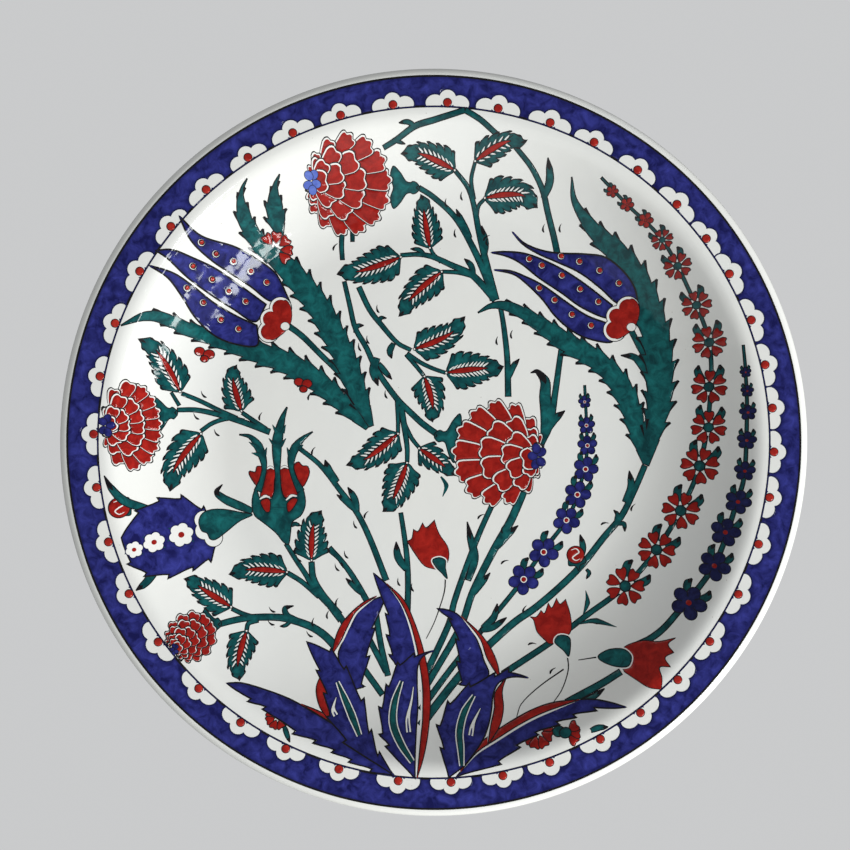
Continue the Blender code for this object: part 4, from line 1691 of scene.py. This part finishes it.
@dataclass(frozen=True)
class RawSurface:
    """A rough or metallic surface with grain: the bare clay foot, the zinc of the wire, the floor.

    Attributes:
        name: the material's name.
        dark: its darker tone.
        pale: its paler tone.
        grain: size of the grain, in metres.
        roughness: how matt it is.
        metallic: 1 for metal.
        relief: depth of the grain, in metres.
    """

    name: str
    dark: Colour
    pale: Colour
    grain: float
    roughness: float
    metallic: float = 0.0
    relief: float = 0.0

    def build(self) -> bpy.types.Material:
        """Make the material."""
        finish = Finish(self.name, Metallic=self.metallic)
        grain = finish.noise(1 / self.grain, 6)
        finish.link(finish.blend(grain, self.dark, self.pale), "Base Color")
        limits = {"To Min": self.roughness * 0.85, "To Max": min(1.0, self.roughness * 1.15)}
        finish.link(finish.ranged({"Value": grain} | limits), "Roughness")
        if self.relief:
            finish.link(finish.bump({"Distance": self.relief, "Height": grain}), "Normal")
        return finish.material


OUTLINE = GlazedColour("black_outline", (0.004, 0.004, 0.006), (0.014, 0.012, 0.014), 0.004, 0.0, relief=0.0)
COLOURS = {
    Ink.BLACK: OUTLINE, Ink.LEAF_LINE: OUTLINE,
    Ink.COBALT: GlazedColour("cobalt_blue", (0.006, 0.007, 0.075), (0.036, 0.042, 0.27), 0.0065, 0.55),
    Ink.NAVY: GlazedColour("deep_blue", (0.005, 0.006, 0.045), (0.018, 0.024, 0.12), 0.005),
    Ink.SKY: GlazedColour("pale_blue", (0.06, 0.10, 0.42), (0.16, 0.24, 0.62), 0.005, 0.4),
    Ink.GREEN: GlazedColour(
        "leaf_green", (0.0015, 0.040, 0.046), (0.008, 0.14, 0.142), 0.006, 0.6, relief=0.05,
    ),
    Ink.RED: GlazedColour(
        "tomato_red", (0.22, 0.006, 0.004), (0.40, 0.016, 0.010), 0.005, 0.35, relief=0.16,
    ),
}


# ---- pieces


def plain_mesh(item: bpy.types.Object) -> bpy.types.Object:
    """Turn what an object's modifiers make into its own mesh and drop the modifiers."""
    graph = bpy.context.evaluated_depsgraph_get()
    mesh = bpy.data.meshes.new_from_object(
        item.evaluated_get(graph), preserve_all_data_layers=True, depsgraph=graph,
    )
    result = bpy.data.objects.new(item.name, mesh)
    name = item.name
    bpy.data.objects.remove(item)
    result.name = name
    bpy.context.collection.objects.link(result)
    return result


def face_outwards(item: bpy.types.Object) -> None:
    """Turn a closed mesh the right way out."""
    shape = bmesh.new()
    shape.from_mesh(item.data)
    if shape.calc_volume(signed=True) < 0:
        bmesh.ops.reverse_faces(shape, faces=shape.faces)
    shape.to_mesh(item.data)
    shape.free()


class Tree:
    """A geometry node tree under construction."""

    def __init__(self, name: str, inputs: list[tuple[str, str]]) -> None:
        """Start a tree.

        Args:
            name: the tree's name.
            inputs: name and socket type of each input after the geometry.
        """
        self.group = bpy.data.node_groups.new(name, "GeometryNodeTree")
        face = self.group.interface
        face.new_socket("Geometry", in_out="INPUT", socket_type="NodeSocketGeometry")
        self.sockets = {}
        for label, kind in inputs:
            self.sockets[label] = face.new_socket(label, in_out="INPUT", socket_type=kind).identifier
        face.new_socket("Geometry", in_out="OUTPUT", socket_type="NodeSocketGeometry")
        self.entry = self.node("NodeGroupInput")
        self.exit = self.node("NodeGroupOutput")

    def node(self, kind: str, inputs: dict | None = None, **settings) -> bpy.types.Node:
        """Add a node, as add_node does."""
        return add_node(self.group, kind, inputs, **settings)

    def math(self, operation: str, first: Value, second: Value = 0.0) -> bpy.types.NodeSocket:
        """Add a math node and return its result."""
        return self.node("ShaderNodeMath", {0: first, 1: second}, operation=operation).outputs[0]

    def finish(self, shape: bpy.types.NodeSocket, material: bpy.types.NodeSocket) -> None:
        """Realise, smooth and dress the result."""
        real = self.node("GeometryNodeRealizeInstances", {0: shape})
        smoothed = self.node("GeometryNodeSetShadeSmooth", {0: real.outputs[0]})
        dressed = self.node(
            "GeometryNodeSetMaterial", {"Geometry": smoothed.outputs[0], "Material": material},
        )
        self.group.links.new(dressed.outputs[0], self.exit.inputs[0])

    def grow(self, item: bpy.types.Object, values: dict) -> bpy.types.Object:
        """Run the tree on an object and return the plain mesh it makes.

        Args:
            item: carries the starting geometry.
            values: each input's value by its name.

        Returns:
            The finished object.
        """
        growth = item.modifiers.new(self.group.name, "NODES")
        growth.node_group = self.group
        for label, value in values.items():
            growth[self.sockets[label]] = value
        return plain_mesh(item)


def points_object(name: str, places: np.ndarray) -> bpy.types.Object:
    """An object that holds loose points."""
    mesh = bpy.data.meshes.new(name)
    mesh.from_pydata([tuple(map(float, p)) for p in places], [], [])
    item = bpy.data.objects.new(name, mesh)
    bpy.context.collection.objects.link(item)
    return item


@dataclass
class GlazedBody:
    """The white glazed plate, turned from its half section and pierced in its foot."""

    form: PlateForm
    steps: int = 420
    hole_sides: int = 40

    def turning_tree(self) -> Tree:
        """Tree that sweeps the section points round the plate's axis."""
        tree = Tree(
            "turned_plate",
            [("Steps", "NodeSocketInt"), ("Centre", "NodeSocketVector"), ("Glaze", "NodeSocketMaterial")],
        )
        given = tree.entry.outputs
        size = tree.node("GeometryNodeAttributeDomainSize", {0: given["Geometry"]})
        count = size.outputs["Point Count"]
        columns = tree.math("ADD", given["Steps"], 1)
        grid = tree.node("GeometryNodeMeshGrid", {"Vertices X": columns, "Vertices Y": count})
        index = tree.node("GeometryNodeInputIndex").outputs[0]
        row = tree.math("MODULO", index, count)
        column = tree.math("FLOOR", tree.math("DIVIDE", tree.math("ADD", index, 0.5), count))
        turn = tree.math("MULTIPLY", tree.math("DIVIDE", column, given["Steps"]), 2 * math.pi)
        section = tree.node(
            "GeometryNodeSampleIndex", {"Geometry": given["Geometry"], "Index": row},
            data_type="FLOAT_VECTOR",
        )
        tree.group.links.new(tree.node("GeometryNodeInputPosition").outputs[0], section.inputs["Value"])
        parts = tree.node("ShaderNodeSeparateXYZ", {0: section.outputs[0]})
        across = tree.math("MULTIPLY", parts.outputs["X"], tree.math("SINE", turn))
        upward = tree.math("MULTIPLY", parts.outputs["X"], tree.math("COSINE", turn))
        forward = tree.math("MULTIPLY", parts.outputs["Z"], -1.0)
        place = tree.node("ShaderNodeCombineXYZ", {0: across, 1: forward, 2: upward})
        moved = tree.node("ShaderNodeVectorMath", {0: place.outputs[0], 1: given["Centre"]}, operation="ADD")
        swept = tree.node(
            "GeometryNodeSetPosition", {"Geometry": grid.outputs["Mesh"], "Position": moved.outputs[0]},
        )
        merged = tree.node(
            "GeometryNodeMergeByDistance", {"Geometry": swept.outputs[0], "Distance": 0.000002},
        )
        tree.finish(merged.outputs[0], given["Glaze"])
        return tree

    def cutter(self, side: int) -> bpy.types.Object:
        """Round cutter for one hanging hole."""
        form = self.form
        middle = form.foot_outer - form.foot_wall / 2
        angle = side * math.asin(form.hole_spacing / 2 / middle)
        bpy.ops.mesh.primitive_cylinder_add(
            vertices=self.hole_sides, radius=form.hole_diameter / 2, depth=1.8 * form.foot_wall
        )
        item = bpy.context.active_object
        item.location = form.centre + Vector(
            (middle * math.sin(angle), -form.foot_height / 2, middle * math.cos(angle))
        )
        item.rotation_euler = (0, angle, 0)
        return item

    def build(self) -> bpy.types.Object:
        """Make the plate and leave its standing ring unglazed."""
        form = self.form
        section = points_object("glazed_plate", np.array([(r, 0.0, h) for r, h in form.section()]))
        glaze = WhiteGlaze().build()
        body = self.turning_tree().grow(section, {"Steps": self.steps, "Centre": form.centre, "Glaze": glaze})
        face_outwards(body)
        cutters = [self.cutter(side) for side in (-1, 1)]
        for tool in cutters:
            cut = body.modifiers.new("hanging_hole", "BOOLEAN")
            cut.operation = "DIFFERENCE"
            cut.solver = "EXACT"
            cut.object = tool
        body = plain_mesh(body)
        for tool in cutters:
            bpy.data.objects.remove(tool)
        clay = RawSurface(
            "bare_clay_foot", (0.50, 0.40, 0.30), (0.66, 0.56, 0.45), 0.0012, 0.85, relief=0.0002,
        )
        body.data.materials.append(clay.build())
        bare = form.foot_edge * 0.7
        for polygon in body.data.polygons:
            polygon.use_smooth = True
            if form.centre.y - polygon.center.y < bare:
                polygon.material_index = 1
        body.data.set_sharp_from_angle(angle=math.radians(50))
        return body


@dataclass
class PigmentFilms:
    """Thin closed films, one for each pigment, cut from the flat design and laid on the face."""

    form: PlateForm
    painting: Painting
    cell: float = 1.3
    lift: float = 0.03 * MM
    root: float = 0.10 * MM
    crown: float = 0.9
    edge_reach: float = 4.0

    def cells(self) -> tuple[np.ndarray, np.ndarray]:
        """Triangles that follow every outline.

        Returns:
            Their corner places in millimetres, and their corners.
        """
        places, edges, start = [], [], 0
        for _, outline in self.painting.fills:
            count = len(outline)
            places.append(outline)
            ring = np.arange(count)
            edges.append(np.stack([ring, (ring + 1) % count], axis=1) + start)
            start += count
        span = np.arange(-196, 196, self.cell)
        x, z = np.meshgrid(span, span * math.sqrt(3) / 2 * 1.16)
        x = x + (np.arange(len(z)) % 2)[:, None] * self.cell / 2
        fill = np.stack([x.ravel(), z.ravel()], axis=1)
        fill = fill[np.hypot(fill[:, 0], fill[:, 1]) < GRID_RADIUS]
        rings = [disc((0, 0), radius, sides=480) for radius in LIP_RINGS]
        flat = np.concatenate([*places, fill, *rings])
        links = np.concatenate(edges).tolist()
        verts, _, faces, *_ = delaunay_2d_cdt([Vector(p) for p in flat.tolist()], links, [], 0, 1e-4, False)
        return np.array([tuple(v) for v in verts]), np.array(faces)

    @staticmethod
    def inside(points: np.ndarray, outline: np.ndarray) -> np.ndarray:
        """Which points an outline winds round."""
        turns = np.zeros(len(points), int)
        px, pz = points[:, 0], points[:, 1]
        for a, b in zip(outline, np.roll(outline, -1, axis=0)):
            left = (b[0] - a[0]) * (pz - a[1]) - (px - a[0]) * (b[1] - a[1])
            turns += (a[1] <= pz) & (b[1] > pz) & (left > 0)
            turns -= (a[1] > pz) & (b[1] <= pz) & (left < 0)
        return turns != 0

    def inked(self, flat: np.ndarray, faces: np.ndarray) -> np.ndarray:
        """Number of the pigment that fills each triangle, in the order of Ink."""
        middle = flat[faces].mean(axis=1)
        order = np.argsort(middle[:, 0])
        sorted_x = middle[order, 0]
        inks = list(Ink)
        result = np.zeros(len(faces), int)
        for ink, outline in self.painting.fills:
            low, high = outline.min(axis=0), outline.max(axis=0)
            near = order[np.searchsorted(sorted_x, low[0]) : np.searchsorted(sorted_x, high[0])]
            near = near[(middle[near, 1] > low[1]) & (middle[near, 1] < high[1])]
            if len(near):
                result[near[self.inside(middle[near], outline)]] = inks.index(ink)
        return result

    def film(self, name: str, ink: Ink, flat: np.ndarray, faces: np.ndarray) -> bpy.types.Object:
        """Closed film of one pigment.

        Args:
            name: the film's name.
            ink: the pigment.
            flat: places of all corners in millimetres.
            faces: the triangles it fills.

        Returns:
            The film's object.
        """
        spots, faces = self.parted(flat, faces)
        shore = self.shoreline(faces)
        tree = KDTree(len(shore))
        for number, corner in enumerate(shore[:, 0]):
            tree.insert((*spots[corner], 0), number)
        tree.balance()
        edge = np.array([tree.find((*spot, 0))[2] for spot in spots])
        edge = np.minimum(edge, self.edge_reach)
        bulge = np.sin(np.minimum(edge / self.crown, 1) * math.pi / 2) * COLOURS[ink].relief * MM
        top = self.form.laid(spots, self.lift + bulge)
        base = self.form.laid(spots, np.full(len(spots), -self.root))
        n = len(spots)
        a, b = shore[:, 0], shore[:, 1]
        walls = np.stack([b, a, a + n, b + n], axis=1)
        mesh = bpy.data.meshes.new(name)
        polygons = [*faces.tolist(), *(faces[:, ::-1] + n).tolist(), *walls.tolist()]
        mesh.from_pydata(np.concatenate([top, base]).tolist(), [], polygons)
        mesh.attributes.new("edge", "FLOAT", "POINT").data.foreach_set("value", np.tile(edge, 2))
        mesh.shade_smooth()
        mesh.set_sharp_from_angle(angle=math.radians(60))
        item = bpy.data.objects.new(name, mesh)
        bpy.context.collection.objects.link(item)
        item.data.materials.append(bpy.data.materials.get(COLOURS[ink].name) or COLOURS[ink].build())
        return item

    @staticmethod
    def shoreline(faces: np.ndarray) -> np.ndarray:
        """Directed edges that belong to one triangle only."""
        edges = np.concatenate([faces[:, [0, 1]], faces[:, [1, 2]], faces[:, [2, 0]]])
        size = int(faces.max()) + 1
        forward = edges[:, 0] * size + edges[:, 1]
        back = edges[:, 1] * size + edges[:, 0]
        return edges[~np.isin(forward, back)]

    def parted(self, flat: np.ndarray, faces: np.ndarray) -> tuple[np.ndarray, np.ndarray]:
        """Keep the corners in use, and give patches that meet in a point a corner each."""
        used, faces = np.unique(faces, return_inverse=True)
        faces = faces.reshape(-1, 3)
        spots = flat[used]
        shore = self.shoreline(faces)
        counts = np.bincount(shore[:, 0], minlength=len(spots))
        touching = {}
        for number, face in enumerate(faces.tolist()):
            for corner in face:
                if counts[corner] > 1:
                    touching.setdefault(corner, []).append(number)
        extra = []
        for corner, around in touching.items():
            for fan in self.fans(corner, around, faces)[1:]:
                extra.append(spots[corner])
                for number in fan:
                    faces[number][faces[number] == corner] = len(spots) + len(extra) - 1
        return (np.concatenate([spots, extra]) if extra else spots), faces

    @staticmethod
    def fans(corner: int, around: list[int], faces: np.ndarray) -> list[list[int]]:
        """Groups of triangles about a corner that hang together by their sides."""
        left = set(around)
        groups = []
        while left:
            group = [left.pop()]
            for number in group:
                mates = [n for n in left if len(set(faces[n]) & set(faces[number]) - {corner})]
                left.difference_update(mates)
                group.extend(mates)
            groups.append(group)
        return groups

    def build(self) -> list[bpy.types.Object]:
        """Make a film for each pigment in use."""
        flat, faces = self.cells()
        numbers = self.inked(flat, faces)
        pieces = []
        for number, ink in enumerate(Ink):
            chosen = faces[numbers == number]
            if ink is Ink.BLACK:
                border = np.linalg.norm(flat[chosen].mean(axis=1), axis=1) > BORDER_START
                pieces.append(self.film("border_line", ink, flat, chosen[border]))
                pieces.append(self.film(ink.value, ink, flat, chosen[~border]))
            elif ink is not Ink.BARE and len(chosen):
                pieces.append(self.film(ink.value, ink, flat, chosen))
        return pieces


@dataclass
class BoleDrops:
    """Raised red drops on the border and the blue tulips."""

    form: PlateForm
    spots: list[tuple[float, float, float]]
    segments: int = 20
    rings: int = 12
    height: float = 0.17

    def tree(self) -> Tree:
        """Tree that sets a flattened drop on each point."""
        tree = Tree(
            "red_drops",
            [
                ("Segments", "NodeSocketInt"), ("Rings", "NodeSocketInt"), ("Height", "NodeSocketFloat"),
                ("Finish", "NodeSocketMaterial"),
            ],
        )
        given = tree.entry.outputs
        ball = tree.node(
            "GeometryNodeMeshUVSphere",
            {"Segments": given["Segments"], "Rings": given["Rings"], "Radius": 1.0},
        )
        facing = tree.node("GeometryNodeInputNamedAttribute", {"Name": "facing"}, data_type="FLOAT_VECTOR")
        reach = tree.node("GeometryNodeInputNamedAttribute", {"Name": "reach"}, data_type="FLOAT")
        turned = tree.node("FunctionNodeAlignRotationToVector", {"Vector": facing.outputs[0]}, axis="Z")
        flatness = tree.math("MULTIPLY", reach.outputs[0], given["Height"])
        size = tree.node("ShaderNodeCombineXYZ", {0: reach.outputs[0], 1: reach.outputs[0], 2: flatness})
        drops = tree.node(
            "GeometryNodeInstanceOnPoints",
            {
                "Points": given["Geometry"], "Instance": ball.outputs["Mesh"],
                "Rotation": turned.outputs[0], "Scale": size.outputs[0],
            },
        )
        tree.finish(drops.outputs[0], given["Finish"])
        return tree

    def build(self) -> bpy.types.Object:
        """Make the drops."""
        flat = np.array([(x, z) for x, z, _ in self.spots])
        item = points_object("red_drops", self.form.laid(flat, np.full(len(flat), 0.02 * MM)))
        item.data.attributes.new("facing", "FLOAT_VECTOR", "POINT").data.foreach_set(
            "vector", self.form.facing(flat).ravel()
        )
        reach = np.array([r for *_, r in self.spots]) * MM
        item.data.attributes.new("reach", "FLOAT", "POINT").data.foreach_set("value", reach)
        finish = GlazedColour("red_bole", (0.26, 0.010, 0.008), (0.46, 0.028, 0.016), 0.004, 0.0).build()
        values = {"Segments": self.segments, "Rings": self.rings, "Height": self.height, "Finish": finish}
        return self.tree().grow(item, values)


# ---- the studio


@dataclass
class Studio:
    """Camera, soft lights, pale floor and pale backdrop."""

    form: PlateForm
    camera_distance: float = 1.2
    camera_offset: Point = (-0.0047, 0.0093)
    lens: float = 91.1
    floor_drop: float = 2.3
    floor_radius: float = 7.0

    def aim(self, item: bpy.types.Object) -> None:
        """Point an object's -Z axis at the plate."""
        item.rotation_euler = (self.form.centre - item.location).to_track_quat("-Z", "Y").to_euler()

    def camera(self) -> None:
        """Level camera in front of the plate."""
        data = bpy.data.cameras.new("camera")
        data.lens = self.lens
        data.sensor_width = 36
        item = bpy.data.objects.new("camera", data)
        item.location = (
            self.form.centre.x + self.camera_offset[0], self.form.centre.y - self.camera_distance,
            self.form.centre.z + self.camera_offset[1],
        )
        item.rotation_euler = (math.pi / 2, 0, 0)
        bpy.context.collection.objects.link(item)
        bpy.context.scene.camera = item

    def light(
        self, name: str, clock: float, tilt: float, distance: float, size: Point, power: float, tint: Colour
    ) -> bpy.types.Object:
        """Hang a soft rectangular light.

        Args:
            name: its name.
            clock: direction round the plate in degrees, clockwise from the top.
            tilt: degrees away from the plate's axis.
            distance: metres from the plate.
            size: width and height in metres.
            power: watts.
            tint: colour.

        Returns:
            The light.
        """
        data = bpy.data.lights.new(name, "AREA")
        data.shape = "RECTANGLE"
        data.size, data.size_y = size
        data.energy = power
        data.color = tint
        item = bpy.data.objects.new(name, data)
        c, t = math.radians(clock), math.radians(tilt)
        way = Vector((math.sin(c) * math.sin(t), -math.cos(t), math.cos(c) * math.sin(t)))
        item.location = self.form.centre + way * distance
        self.aim(item)
        bpy.context.collection.objects.link(item)
        return item

    def air(self) -> None:
        """Even light from all round: dim in the glaze's reflections, pale behind the plate."""
        world = bpy.data.worlds.new("studio_air")
        world.use_nodes = True
        group = world.node_tree
        rays = add_node(group, "ShaderNodeLightPath").outputs
        strength = AIR_STRENGTH
        for ray, value in (("Is Glossy Ray", GLOSSY_AIR_STRENGTH), ("Is Camera Ray", BACKDROP_STRENGTH)):
            pick = add_node(group, "ShaderNodeMix", {"Factor": rays[ray], "A": strength, "B": value})
            strength = pick.outputs["Result"]
        glow = group.nodes["Background"]
        glow.inputs["Color"].default_value = (0.98, 0.99, 1.0, 1)
        group.links.new(strength, glow.inputs["Strength"])
        bpy.context.scene.world = world

    def floor(self) -> bpy.types.Object:
        """Round pale floor below the plate."""
        shape = bmesh.new()
        bmesh.ops.create_circle(shape, cap_ends=True, segments=96, radius=self.floor_radius)
        drop = Vector((0, 0, self.form.centre.z - self.floor_drop))
        bmesh.ops.translate(shape, verts=shape.verts, vec=drop)
        mesh = bpy.data.meshes.new("pale_floor")
        shape.to_mesh(mesh)
        shape.free()
        mesh.materials.append(
            RawSurface("pale_plaster", (0.86, 0.86, 0.84), (0.91, 0.91, 0.89), 0.03, 0.9).build()
        )
        item = bpy.data.objects.new("pale_floor", mesh)
        bpy.context.collection.objects.link(item)
        return item

    def build(self) -> None:
        """Set up the studio."""
        self.camera()
        self.air()
        key = self.light(
            "low_right_window", clock=120, tilt=68, distance=2.2, size=(1.2, 1.0), power=48,
            tint=(1.0, 0.99, 0.975),
        )
        key.visible_glossy = False
        for clock, tilt, size, power in (
            (133, 35, (0.40, 0.44), 6.5), (133, 48, (0.40, 0.30), 4.5), (114, 66, (0.2, 0.9), 7.0),
        ):
            self.light(f"pane_{clock}_{tilt}", clock, tilt, 2.4, size, power, tint=(0.96, 1.0, 0.98))
        self.floor()


# ---- main


def main() -> None:
    """Build the plate, its painting and the studio, and attach the new pieces of the plate to the dish."""
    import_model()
    form = PlateForm.from_frame()
    body = GlazedBody(form).build()
    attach(body, "dish")
    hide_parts("plate")
    LOG.info("glazed body: %d faces", len(body.data.polygons))

    painting = FlowerDesign().paint()
    for film in PigmentFilms(form, painting).build():
        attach(film, "dish")
        LOG.info("pigment film %s: %d faces", film.name, len(film.data.polygons))

    drops = BoleDrops(form, painting.bole_dots).build()
    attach(drops, "dish")
    LOG.info("red drops: %d", len(painting.bole_dots))

    zinc = RawSurface(
        "galvanised_wire", (0.42, 0.43, 0.44), (0.62, 0.62, 0.61), 0.0009, 0.36, 1.0, 0.00002,
    ).build()
    wire = bpy.data.objects["hanging_wire"]
    for slot in wire.material_slots:
        slot.material = zinc

    Studio(form).build()
    bpy.context.scene.view_settings.view_transform = "Standard"


if __name__ == "__main__":
    logging.basicConfig(level=logging.INFO, stream=sys.stdout)
    main()
